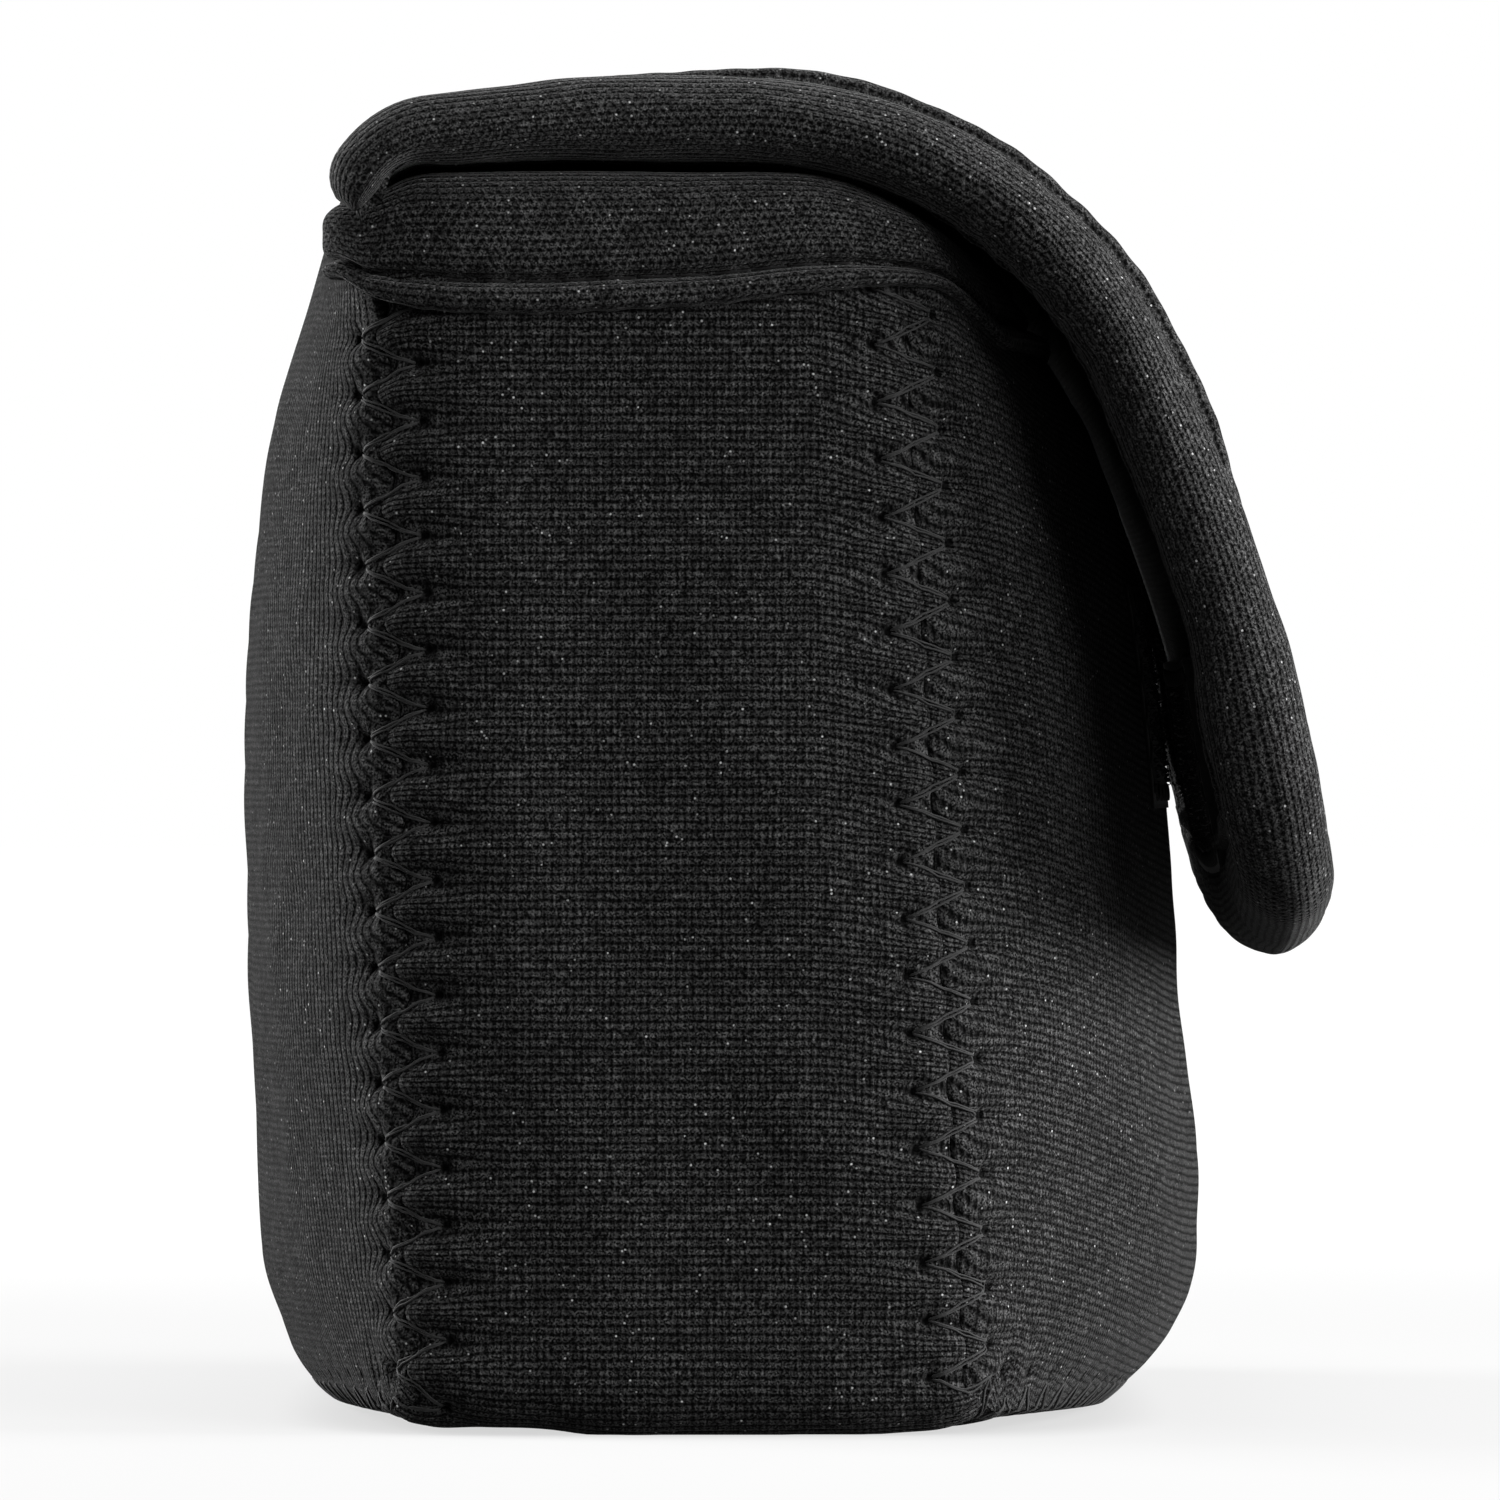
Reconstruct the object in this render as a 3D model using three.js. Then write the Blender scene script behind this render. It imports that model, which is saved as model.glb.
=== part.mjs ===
import * as THREE from "three";

// Soft camera case sewn from laminated neoprene, in millimetres.
// +Z is up, the front of the case faces -Y and its width runs along X.
// The origin is the middle of the flat underside that the case stands on.
//
// One long strip makes both sides and the base. A front panel and a back panel
// are butted to it and sewn with zigzag seams. The back panel runs on over the
// top as the flap, and a knitted tape binds the mouth and the flap's edge.

// Cloth and seams
const neoprene = 4;
const seamGap = 0.4;
const seamSlant = 45;
const seamTuck = 1.6;
const seamHold = 5;

// Case body: reaches are measured from the middle plane, along Y
const caseWidth = 119;
const sideTaper = 1.5;
const rimHeight = 88;
const footRadius = 14;
const baseReach = 31.2;
const frontSeamFoot = 16.6;
const frontSeamTop = 12.4;
const backSeamFoot = 20.9;
const backSeamTop = 24;
const frontLift = 5.1;
const backLift = 4.5;
const baseFlatShare = 0.5;
const baseRounding = 0.8;
const liftRounding = 2;

// Front panel, bottom to top: its reach, and the share of the rim's height at which it has that
const frontFullReach = 34.6;
const frontFullAt = 0.135;
const frontChestReach = 32.7;
const frontChestAt = 0.47;
const frontShoulderReach = 26.8;
const frontShoulderAt = 0.68;
const frontNeckReach = 22.9;
const frontNeckAt = 0.8;
const frontTopReach = 18.2;

// Back panel, bottom to top
const backHeelReach = 33.7;
const backHeelAt = 0.135;
const backFullReach = 34.9;
const backFullAt = 0.55;
const backShoulderReach = 33.6;
const backShoulderAt = 0.77;
const backNeckReach = 31.4;
const backNeckAt = 0.865;
const backTopReach = 26.8;

// Swell of both panels across: how far they run on from the seam, and how flat their crest is
const swellFromSeam = 0.75;
const swellCrest = 0.55;
const leastSwell = 0.5;
const topLevelling = 8;

// Binding tape
const bindingThickness = 6.4;
const bindingDepth = 7.3;
const flangeDepth = 2.1;
const bindingWall = 1.3;
const bindingGap = 0.35;
const grooveSink = 0.45;
const grooveWidth = 1.3;
const flangeStand = 0.2;

// Flap: it leaves the hinge line, arches over the mouth and hangs down in front
const flapWidth = 120;
const hingeDrop = 0.4;
const restGap = 0.5;
const rootHeading = 52;
const rootRadius = 6;
const crownHeading = 8.5;
const crownRadius = 147;
const foldRadius = 30.3;
const foldHeading = -65.5;
const tipRadius = 136;
const tipLength = 41.5;
const tipCornerRadius = 11;
const bendHeading = -34;
const hingeCorner = 14;

// Fastener patches
const hookWidth = 50;
const hookHeight = 16;
const hookThickness = 1.1;
const hookInset = 8;
const loopWidth = 60;
const loopHeight = 22;
const loopThickness = 1.1;
const loopMiddle = 45;
const patchGap = 0.25;

// Facets
const sideSteps = 13;
const baseSteps = 10;
const acrossSteps = 12;
const bendSteps = 9;
const cornerSteps = 6;
const crownSteps = 14;
const crownTapeSteps = 12;
const tipSteps = 8;
const flapAcrossSteps = 4;
const patchSteps = 4;
const rollSteps = 8;

const radians = Math.PI / 180;
const half = neoprene / 2;
const rollRadius = bindingThickness / 2;
const slopeProbe = 0.01;
const mix = (a, b, share) => a + (b - a) * share;
const clamp = (value, low, high) => Math.min(Math.max(value, low), high);
const vector = (x, y, z) => new THREE.Vector3(x, y, z);

// Last place between two values at which a test still holds
function halve(low, high, holds) {
  const span = high - low;
  let from = low;
  let to = high;
  while (to - from > span * 1e-4) {
    const middle = (from + to) / 2;
    if (holds(middle)) from = middle;
    else to = middle;
  }
  return from;
}

// Smooth value at a height, through [height, value] stations and without overshoot
function through(stations, height) {
  const last = stations.length - 1;
  let low = 0;
  while (low < last - 1 && height > stations[low + 1][0]) low += 1;
  const slope = (k) => (stations[k + 1][1] - stations[k][1]) / (stations[k + 1][0] - stations[k][0]);
  const tangent = (k) => {
    if (k === 0) return slope(0);
    if (k === last) return slope(last - 1);
    const before = slope(k - 1);
    const after = slope(k);
    return before * after <= 0 ? 0 : (2 * before * after) / (before + after);
  };
  const [startHeight, startValue] = stations[low];
  const [endHeight, endValue] = stations[low + 1];
  const span = endHeight - startHeight;
  const s = clamp((height - startHeight) / span, 0, 1);
  const startPull = span * tangent(low) * s * (1 - s) ** 2;
  const endPull = span * tangent(low + 1) * s * s * (1 - s);
  return mix(startValue, endValue, s * s * (3 - 2 * s)) + startPull - endPull;
}

// Closed solid from two matching grids of points, the outer and the inner skin
function thickSheet(outer, inner) {
  const rows = outer.length;
  const columns = outer[0].length;
  const positions = [...outer.flat(), ...inner.flat()].flatMap((p) => [p.x, p.y, p.z]);
  const faces = [];
  const at = (row, column) => row * columns + column;
  const under = (row, column) => rows * columns + at(row, column);
  const quad = (a, b, c, d) => faces.push(a, b, c, a, c, d);
  for (let r = 0; r < rows - 1; r += 1) {
    for (let c = 0; c < columns - 1; c += 1) {
      quad(at(r, c), at(r, c + 1), at(r + 1, c + 1), at(r + 1, c));
      quad(under(r, c), under(r + 1, c), under(r + 1, c + 1), under(r, c + 1));
    }
    quad(at(r, 0), at(r + 1, 0), under(r + 1, 0), under(r, 0));
    quad(at(r + 1, columns - 1), at(r, columns - 1), under(r, columns - 1), under(r + 1, columns - 1));
  }
  for (let c = 0; c < columns - 1; c += 1) {
    quad(at(0, c + 1), at(0, c), under(0, c), under(0, c + 1));
    quad(at(rows - 1, c), at(rows - 1, c + 1), under(rows - 1, c + 1), under(rows - 1, c));
  }
  return solid(positions, faces);
}

// Closed solid from rings of points along a path, with both ends capped
function sweptRings(rings) {
  const count = rings[0].length;
  const positions = rings.flat().flatMap((p) => [p.x, p.y, p.z]);
  const faces = [];
  for (let r = 0; r < rings.length - 1; r += 1) {
    for (let k = 0; k < count; k += 1) {
      const next = (k + 1) % count;
      const [a, b] = [r * count + k, r * count + next];
      faces.push(a, b, b + count, a, b + count, a + count);
    }
  }
  const flat = bindingSection.map(([depth, height]) => new THREE.Vector2(depth, height));
  const lastRing = (rings.length - 1) * count;
  for (const [a, b, c] of THREE.ShapeUtils.triangulateShape(flat, [])) {
    faces.push(a, c, b, lastRing + a, lastRing + b, lastRing + c);
  }
  return solid(positions, faces);
}

// Turns the faces outwards where the sum of the tetrahedra to the origin says that they point in
function solid(positions, faces) {
  const corner = (k) => vector(positions[3 * k], positions[3 * k + 1], positions[3 * k + 2]);
  let volume = 0;
  for (let f = 0; f < faces.length; f += 3) {
    volume += corner(faces[f]).dot(corner(faces[f + 1]).cross(corner(faces[f + 2])));
  }
  if (volume < 0) faces.reverse();
  const geometry = new THREE.BufferGeometry();
  geometry.setAttribute("position", new THREE.Float32BufferAttribute(positions, 3));
  geometry.setIndex(faces);
  geometry.computeVertexNormals();
  return geometry;
}

// Middle line of the flap in the plane of Y and Z, as tangent arcs from the hinge to the tip
const hingeHeight = rimHeight - hingeDrop;
const hingeY = backTopReach - half;
const flapArcs = [
  { from: rootHeading, to: crownHeading, radius: rootRadius },
  { from: crownHeading, to: 0, radius: crownRadius },
  { from: 0, to: foldHeading, radius: foldRadius },
  { from: foldHeading, to: foldHeading - tipLength / tipRadius / radians, radius: tipRadius },
].map((arc) => ({ ...arc, length: (arc.from - arc.to) * radians * arc.radius }));
const flapLength = flapArcs.reduce((sum, arc) => sum + arc.length, 0);
const foldStart = flapArcs[0].length + flapArcs[1].length;
const bendAt = foldStart - bendHeading * radians * foldRadius;

function flapLine(distance) {
  let left = clamp(distance, 0, flapLength);
  let start = { reach: -hingeY, height: hingeHeight };
  for (const arc of flapArcs) {
    const turned = Math.min(left, arc.length) / arc.radius;
    const from = arc.from * radians;
    const heading = from - turned;
    start = {
      reach: start.reach + arc.radius * (Math.sin(from) - Math.sin(heading)),
      height: start.height + arc.radius * (Math.cos(heading) - Math.cos(from)),
      heading,
    };
    left -= arc.length;
    if (left <= 0) break;
  }
  return start;
}

// Point of the flap: x across, a distance along the middle line, a height off it towards the outside
function flapPoint(x, distance, off) {
  const line = flapLine(distance);
  const past = distance - clamp(distance, 0, flapLength);
  const reach = line.reach + past * Math.cos(line.heading) - off * Math.sin(line.heading);
  const height = line.height + past * Math.sin(line.heading) + off * Math.cos(line.heading);
  return vector(x, -reach, height);
}

// Height of the flap's underside over a place of the mouth, that far below its middle line
function flapUnderside(y, off) {
  const distance = halve(0, flapLength, (middle) => flapPoint(0, middle, -off).y > y);
  return flapPoint(0, distance, -off).z;
}

// Top of the rim's round roll, whose middle stands at y: level, but never into the flap
function rimTop(y, flapOff) {
  let top = rimHeight;
  for (let k = 0; k <= rollSteps; k += 1) {
    const out = (rollRadius * k) / rollSteps;
    const rollDrop = rollRadius - Math.sqrt(rollRadius ** 2 - out ** 2);
    top = Math.min(top, flapUnderside(y - out, flapOff) + rollDrop - restGap);
  }
  return top;
}

// The rim's tape ends where the flap turns on its hinge, and the cloth there stays below the turn
const rimEnd = hingeY - rollRadius - bindingGap;
const underHinge = hingeHeight - rollRadius - bindingGap;
const rimEdges = new Map();

function rimEdge(y) {
  if (!rimEdges.has(y)) {
    const underFlap = rimTop(y, rollRadius) - bindingWall - bindingGap;
    rimEdges.set(y, y > rimEnd + bindingGap ? underHinge : underFlap);
  }
  return rimEdges.get(y);
}

// Left half of the strip's middle path: 0 at the rim, 0.5 halfway round the lower corner, 1 at the centre
const sideLength = rimHeight - footRadius;
const halfArc = (Math.PI / 4) * footRadius;
const baseLength = caseWidth / 2 - footRadius;

function stripPath(t, top) {
  const down = (t / 0.5) * (sideLength + halfArc);
  if (t <= 0.5 && down < sideLength) {
    const height = mix(top, footRadius, down / sideLength);
    const rise = (height - footRadius) / sideLength;
    return { x: -caseWidth / 2 + sideTaper * rise * rise, z: height, inX: 1, inZ: 0 };
  }
  const along = t <= 0.5 ? down - sideLength : halfArc + ((t - 0.5) / 0.5) * (halfArc + baseLength);
  const angle = Math.min(along / footRadius, Math.PI / 2);
  const run = Math.max(along - 2 * halfArc, 0);
  return {
    x: -caseWidth / 2 + footRadius * (1 - Math.cos(angle)) + run,
    z: footRadius * (1 - Math.sin(angle)),
    inX: Math.cos(angle),
    inZ: Math.sin(angle),
  };
}

const seamSides = {
  front: { sign: -1, foot: frontSeamFoot, top: frontSeamTop, lift: frontLift },
  back: { sign: 1, foot: backSeamFoot, top: backSeamTop, lift: backLift },
};

// Middle of the seam between the strip and one panel, on the outer skin
function seamLine(face, t) {
  const { sign, foot, top, lift } = seamSides[face];
  const path = stripPath(t, rimEdge(sign * top));
  const across = Math.min(1, path.x / (caseWidth / 2)) ** 2;
  const spread = path.z >= footRadius ? 0 : Math.max(0, 1 - across);
  const sideReach = mix(foot, top, path.z / rimHeight);
  const reach = sideReach + (baseReach - foot) * spread ** baseRounding;
  const tuck = seamTuck + (lift - seamTuck) * spread ** liftRounding;
  return { path, point: vector(path.x + path.inX * tuck, sign * reach, path.z + path.inZ * tuck) };
}

// Edge of the strip or of a panel at the seam, on both skins, drawn back by half the gap
function seam(face, t, piece) {
  const { sign } = seamSides[face];
  const { path, point } = seamLine(face, t);
  const after = seamLine(face, Math.min(1, t + slopeProbe)).point;
  const along = after.sub(seamLine(face, Math.max(0, t - slopeProbe)).point);
  const slant = seamSlant * radians;
  const out = vector(-path.inX * Math.cos(slant), sign * Math.sin(slant), -path.inZ * Math.cos(slant));
  const across = along.cross(out).normalize();
  const toPanel = Math.sign(across.y) * sign;
  const back = piece === "strip" ? -seamGap / 2 : seamGap / 2;
  const outer = point.addScaledVector(across, toPanel * back);
  const wall = neoprene / Math.cos(slant / 2);
  return { outer, inner: outer.clone().addScaledVector(out, -wall) };
}

// The strip, at t along one half and from -1 at the front seam to 1 at the back seam
function stripPoint(t, side, across, layer) {
  const edges = { front: seam("front", t, "strip"), back: seam("back", t, "strip") };
  const from = edges.front[layer].y;
  const y = mix(from, edges.back[layer].y, (across + 1) / 2);
  const path = stripPath(t, rimEdge(y));
  const skin = layer === "outer" ? 0 : neoprene;
  const edge = edges[across < 0 ? "front" : "back"][layer];
  const edgePath = stripPath(t, rimEdge(edge.y));
  const inset = (edge.x - edgePath.x) * path.inX + (edge.z - edgePath.z) * path.inZ - skin;
  const beyondFlat = Math.max(0, (Math.abs(across) - baseFlatShare) / (1 - baseFlatShare));
  const off = skin + inset * beyondFlat ** 2;
  return vector(-side * (path.x + path.inX * off), y, path.z + path.inZ * off);
}

// Reach of each panel at its middle, from the base seam to the top edge
const frontTopEdge = rimTop(half - frontTopReach, half) - bindingWall - bindingGap;
const backTopEdge = hingeHeight - half - bindingGap;
const panels = {
  front: {
    topEdge: frontTopEdge,
    stations: [
      [frontLift, baseReach],
      [frontFullAt * rimHeight, frontFullReach],
      [frontChestAt * rimHeight, frontChestReach],
      [frontShoulderAt * rimHeight, frontShoulderReach],
      [frontNeckAt * rimHeight, frontNeckReach],
      [frontTopEdge, frontTopReach],
    ],
  },
  back: {
    topEdge: backTopEdge,
    stations: [
      [backLift, baseReach],
      [backHeelAt * rimHeight, backHeelReach],
      [backFullAt * rimHeight, backFullReach],
      [backShoulderAt * rimHeight, backShoulderReach],
      [backNeckAt * rimHeight, backNeckReach],
      [backTopEdge, backTopReach],
    ],
  },
};

// One panel, from -1 to 1 across and from 0 at the base seam to 1 at the top edge
function panelPoint(face, across, up, layer) {
  const row = panelRow(face, across, up, layer);
  const along = 1 - Math.abs(across) / 2;
  const base = seam(face, along, "panel")[layer];
  const lowest = panelRow(face, across, 0, layer);
  const hold = (1 - up) ** seamHold;
  const baseX = across < 0 ? base.x : -base.x;
  row.x += hold * (baseX - lowest.x);
  row.y += hold * (base.y - lowest.y);
  row.z += hold * (base.z - lowest.z);
  return row;
}

// The same before its foot is drawn to the base seam: level rows that swell out from the side seams
function panelRow(face, across, up, layer) {
  const { sign } = seamSides[face];
  const { topEdge, stations } = panels[face];
  const edge = seam(face, (1 - up) / 2, "panel")[layer];
  const lowEdge = seam(face, 0.5, "panel")[layer];
  const highEdge = seam(face, 0, "panel")[layer];
  const middleLow = seam(face, 1, "panel")[layer].z;
  const rise = (edge.z - lowEdge.z) / (highEdge.z - lowEdge.z);
  const middleHeight = mix(middleLow, topEdge, rise);
  const skin = layer === "outer" ? 0 : neoprene;
  const middleReach = through(stations, middleHeight) - skin;
  const edgeReach = Math.abs(edge.y);
  const run = swellFromSeam * Math.max(leastSwell, middleReach - edgeReach);
  const halfRow = [
    new THREE.Vector2(-edge.x, edgeReach),
    new THREE.Vector2(-edge.x - run * Math.tan(seamSlant * radians), edgeReach + run),
    new THREE.Vector2(-edge.x * swellCrest, middleReach),
    new THREE.Vector2(0, middleReach),
  ];
  const point = new THREE.CubicBezierCurve(...halfRow).getPoint(1 - Math.abs(across));
  const crowned = 1 - across ** 2;
  const besideTape = point.x < flapWidth / 2 - hingeCorner ? 1 : 0;
  const level = mix(crowned, face === "front" ? crowned : besideTape, up ** topLevelling);
  return vector(Math.sign(across) * point.x, sign * point.y, mix(edge.z, middleHeight, level));
}

const steps = (count) => Array.from({ length: count + 1 }, (_, k) => k / count);
const sideStations = steps(sideSteps).map((k) => k / 2);
const baseStations = steps(baseSteps).map((k) => (1 + k) / 2);
const halfStations = [...sideStations, ...baseStations.slice(1)];

// Strip of both sides and the base
function gussetGeometry() {
  const columns = [
    ...halfStations.map((t) => ({ t, side: -1 })),
    ...halfStations.slice(0, -1).reverse().map((t) => ({ t, side: 1 })),
  ];
  const skin = (layer) => columns.map(({ t, side }) => (
    steps(acrossSteps).map((k) => stripPoint(t, side, 2 * k - 1, layer))
  ));
  return thickSheet(skin("outer"), skin("inner"));
}

// Front or back panel on a grid that shares the strip's stations along the seam
function panelGeometry(face) {
  const across = [
    ...baseStations.map((t) => -2 * (1 - t)),
    ...baseStations.slice(0, -1).reverse().map((t) => 2 * (1 - t)),
  ];
  const up = [...sideStations].reverse().map((t) => 1 - 2 * t);
  const skin = (layer) => up.map((rise) => across.map((share) => panelPoint(face, share, rise, layer)));
  return thickSheet(skin("outer"), skin("inner"));
}

// Section of the binding tape: depth from the folded edge, height off the cloth's middle
const sheetEdge = bindingWall + bindingGap;
const slotHalf = half + bindingGap;
const fullDepth = bindingDepth + flangeDepth;
const rollTurns = [90, 65, 43, 21, 0, -21, -43, -65, -90];
const bindingSection = [
  [fullDepth, slotHalf],
  [fullDepth, rollRadius - flangeStand / 2],
  [mix(bindingDepth, fullDepth, 0.6), rollRadius + flangeStand],
  [mix(bindingDepth, fullDepth, 0.15), rollRadius],
  [bindingDepth, rollRadius - grooveSink],
  [bindingDepth - grooveWidth, rollRadius],
  ...rollTurns.map((turn) => [
    rollRadius * (1 - Math.cos(turn * radians)),
    rollRadius * Math.sin(turn * radians),
  ]),
  [bindingDepth - grooveWidth / 3, -rollRadius + flangeStand],
  [bindingDepth, -slotHalf],
  [bindingWall, -slotHalf],
  [bindingWall, slotHalf],
];

// Tape round the mouth, from the hinge along one side, across the front and back along the other side
function rimBindingGeometry() {
  const end = rimShareEnd();
  const shares = steps(acrossSteps).map((k) => 1 - 2 * k);
  const sideShares = [end, ...shares.filter((share) => share < end - slopeProbe)];
  const onSide = (side) => (share) => (layer) => (up) => stripPoint((1 - up) / 2, side, share, layer);
  const onFront = (share) => (layer) => (up) => panelPoint("front", share, up, layer);
  const path = [
    ...sideShares.map(onSide(-1)),
    ...steps(2 * baseSteps).slice(1, -1).map((k) => onFront(2 * k - 1)),
    ...[...sideShares].reverse().map(onSide(1)),
  ];
  return sweptRings(path.map((skin) => rimRing(skin("outer"), skin("inner"))));
}

// Share across the strip at which the rim's tape ends, near the hinge
function rimShareEnd() {
  const frontY = seam("front", 0, "strip").outer.y;
  const backY = seam("back", 0, "strip").outer.y;
  return mix(-1, 1, (rimEnd - frontY) / (backY - frontY));
}

// Ring of the tape round the cloth's top edge, held off both skins of the cloth
function rimRing(outer, inner) {
  const lower = 1 - 5 * slopeProbe;
  const drop = (outer(1).z - outer(lower).z) / (1 - lower);
  const rise = outer(1).sub(outer(lower)).normalize();
  const level = outer(1).sub(inner(1)).setZ(0).normalize();
  const out = level.addScaledVector(rise, -level.dot(rise)).normalize();
  const skinPoint = (skin, depth) => {
    const below = (depth - sheetEdge) / drop;
    return below > 0 ? skin(1 - below) : skin(1).addScaledVector(rise, sheetEdge - depth);
  };
  return bindingSection.map(([depth, off]) => {
    const high = skinPoint(outer, depth);
    const deep = skinPoint(inner, depth);
    if (off > half) return high.addScaledVector(out, off - half);
    if (off < -half) return deep.addScaledVector(out, off + half);
    return deep.lerp(high, (off + half) / neoprene);
  });
}

const sheetTurns = [5, 25, 45, 67];

// Cloth of the flap through the given stops, with its first end rounded about the turning line
function flapSheetGeometry(stops, edge) {
  const root = sheetTurns.map((turn) => ({
    distance: stops[0] - half * Math.cos(turn * radians),
    thick: Math.sin(turn * radians),
  }));
  const stations = [...root, ...stops.map((distance) => ({ distance, thick: 1 }))];
  const skin = (side) => stations.map(({ distance, thick }) => {
    const width = edge(distance);
    return steps(flapAcrossSteps).map((k) => flapPoint(mix(-width, width, k), distance, side * half * thick));
  });
  return thickSheet(skin(1), skin(-1));
}

// Half width of the flap's cloth: drawn in round the corners of the tip, and beside the fold's tape
const clothHalf = flapWidth / 2 - sheetEdge;
const crownEnd = bendAt - rollRadius - bindingGap;

function tipEdge(distance) {
  const radius = tipCornerRadius - sheetEdge;
  const into = distance - (flapLength - sheetEdge - radius);
  if (into <= 0) return clothHalf;
  return clothHalf - radius + Math.sqrt(Math.max(radius ** 2 - into ** 2, 0));
}

const crownEdge = (distance) => (distance > crownEnd ? flapWidth / 2 - fullDepth - bindingGap : clothHalf);

const crownStops = [
  ...steps(crownSteps).map((k) => crownEnd * k),
  crownEnd + slopeProbe,
  bendAt - half - bindingGap,
];
const tipTurns = [20, 40, 58, 74, 90];
const tipStops = [
  ...steps(tipSteps).map((k) => mix(bendAt, flapLength - tipCornerRadius, k)),
  ...tipTurns.map((turn) => (
    flapLength - tipCornerRadius + (tipCornerRadius - sheetEdge) * Math.sin(turn * radians)
  )),
];

// Rings of the tape about a turning line: they close in like the end of a rolled seam
const rootTurns = [75, 50, 25];
const rootRings = (edgePoint) => rootTurns.map((turn) => {
  const squeeze = Math.cos(turn * radians);
  const back = rollRadius * Math.sin(turn * radians);
  return bindingSection.map(([depth, off]) => edgePoint(depth, -back, off * squeeze));
});

// Tape along one side of the crown, from the hinge to the front fold
function crownBindingGeometry(sign) {
  const edgePoint = (depth, distance, off) => flapPoint(sign * (flapWidth / 2 - depth), distance, off);
  const ring = (distance) => bindingSection.map(([depth, off]) => edgePoint(depth, distance, off));
  const run = steps(crownTapeSteps).map((k) => ring(crownEnd * k));
  return sweptRings([...rootRings(edgePoint), ...run]);
}

// Tape round the free tip of the flap, down one side, across the lower edge and up the other side
function tipBindingGeometry() {
  const cornerAt = flapLength - tipCornerRadius;
  const cornerX = flapWidth / 2 - tipCornerRadius;
  const down = steps(bendSteps).slice(0, -1);
  const straight = down.map((k) => ({ x: 0, turn: 0, distance: mix(bendAt, cornerAt, k) }));
  const corner = steps(cornerSteps).map((k) => ({ x: 0, turn: 90 * k, distance: cornerAt }));
  const lower = steps(tipSteps).slice(1, -1).map((k) => ({ x: cornerX * k, turn: 90, distance: cornerAt }));
  const left = [...straight, ...corner, ...lower];
  const ring = (sign) => ({ x, turn, distance }) => bindingSection.map(([depth, off]) => {
    const out = tipCornerRadius - depth;
    const across = cornerX - x + out * Math.cos(turn * radians);
    return flapPoint(-sign * across, distance + out * Math.sin(turn * radians), off);
  });
  const edgePoint = (sign) => (depth, back, off) => (
    flapPoint(-sign * (flapWidth / 2 - depth), bendAt + back, off)
  );
  const middle = [{ x: cornerX, turn: 90, distance: cornerAt }];
  return sweptRings([
    ...rootRings(edgePoint(1)),
    ...left.map(ring(1)),
    ...middle.map(ring(1)),
    ...[...left].reverse().map(ring(-1)),
    ...[...rootRings(edgePoint(-1))].reverse(),
  ]);
}

// Patch of hooks sewn inside the tip
function hookPatchGeometry() {
  const end = flapLength - hookInset;
  const skin = (off) => steps(patchSteps).map((k) => (
    [-1, 1].map((side) => flapPoint((side * hookWidth) / 2, end - hookHeight * (1 - k), off))
  ));
  const top = -half - patchGap;
  return thickSheet(skin(top), skin(top - hookThickness));
}

// Patch of loops sewn on the front panel, lying along its swell
function loopPatchGeometry() {
  const rows = steps(patchSteps).map((k) => loopMiddle + loopHeight * (k - 0.5));
  const place = (x, z) => {
    const reach = frontSurface(x, z);
    const lean = (frontSurface(x, z + 1) - frontSurface(x, z - 1)) / 2;
    const turn = (frontSurface(x + 1, z) - frontSurface(x - 1, z)) / 2;
    return { point: vector(x, -reach, z), out: vector(-turn, -1, -lean).normalize() };
  };
  const skin = (off) => rows.map((z) => steps(2 * patchSteps).map((k) => {
    const { point, out } = place((k - 0.5) * loopWidth, z);
    return point.addScaledVector(out, off);
  }));
  return thickSheet(skin(patchGap + loopThickness), skin(patchGap));
}

// Reach of the front panel's outer skin at a place, found by halving along the grid's two directions
function frontSurface(x, z) {
  let across = 0;
  let up = 0;
  for (let round = 0; round < 3; round += 1) {
    up = halve(0, 1, (middle) => panelPoint("front", across, middle, "outer").z < z);
    across = halve(-1, 1, (middle) => panelPoint("front", middle, up, "outer").x < x);
  }
  return -panelPoint("front", across, up, "outer").y;
}

const jersey = new THREE.MeshStandardMaterial({ color: 0x1b1b1c, roughness: 0.9, metalness: 0 });
const tape = new THREE.MeshStandardMaterial({ color: 0x1f1f20, roughness: 0.92, metalness: 0 });
const hooks = new THREE.MeshStandardMaterial({ color: 0x2a2a2b, roughness: 0.7, metalness: 0 });
const loops = new THREE.MeshStandardMaterial({ color: 0x161617, roughness: 1, metalness: 0 });

const cameraCase = new THREE.Group();
const add = (name, geometry, material) => {
  const mesh = new THREE.Mesh(geometry, material);
  mesh.name = name;
  cameraCase.add(mesh);
};

add("gusset", gussetGeometry(), jersey);
add("front_panel", panelGeometry("front"), jersey);
add("back_panel", panelGeometry("back"), jersey);
add("rim_binding", rimBindingGeometry(), tape);
add("loop_patch", loopPatchGeometry(), loops);
add("flap_crown", flapSheetGeometry(crownStops, crownEdge), jersey);
add("crown_binding_left", crownBindingGeometry(-1), tape);
add("crown_binding_right", crownBindingGeometry(1), tape);
add("flap_tip", flapSheetGeometry(tipStops, tipEdge), jersey);
add("tip_binding", tipBindingGeometry(), tape);
add("hook_patch", hookPatchGeometry(), hooks);

export default cameraCase;
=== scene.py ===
"""Soft camera case of laminated neoprene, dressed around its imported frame.

Sizes in the classes are millimetres in the frame's own axes: +Z is up, the front faces -Y and the
width runs along X. Meshes are written in metres, with each object at the origin.
"""

from __future__ import annotations

import logging
import math
from dataclasses import dataclass, field
from enum import Enum
from typing import Callable, Sequence

import bpy
import numpy as np
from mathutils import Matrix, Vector, kdtree

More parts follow.
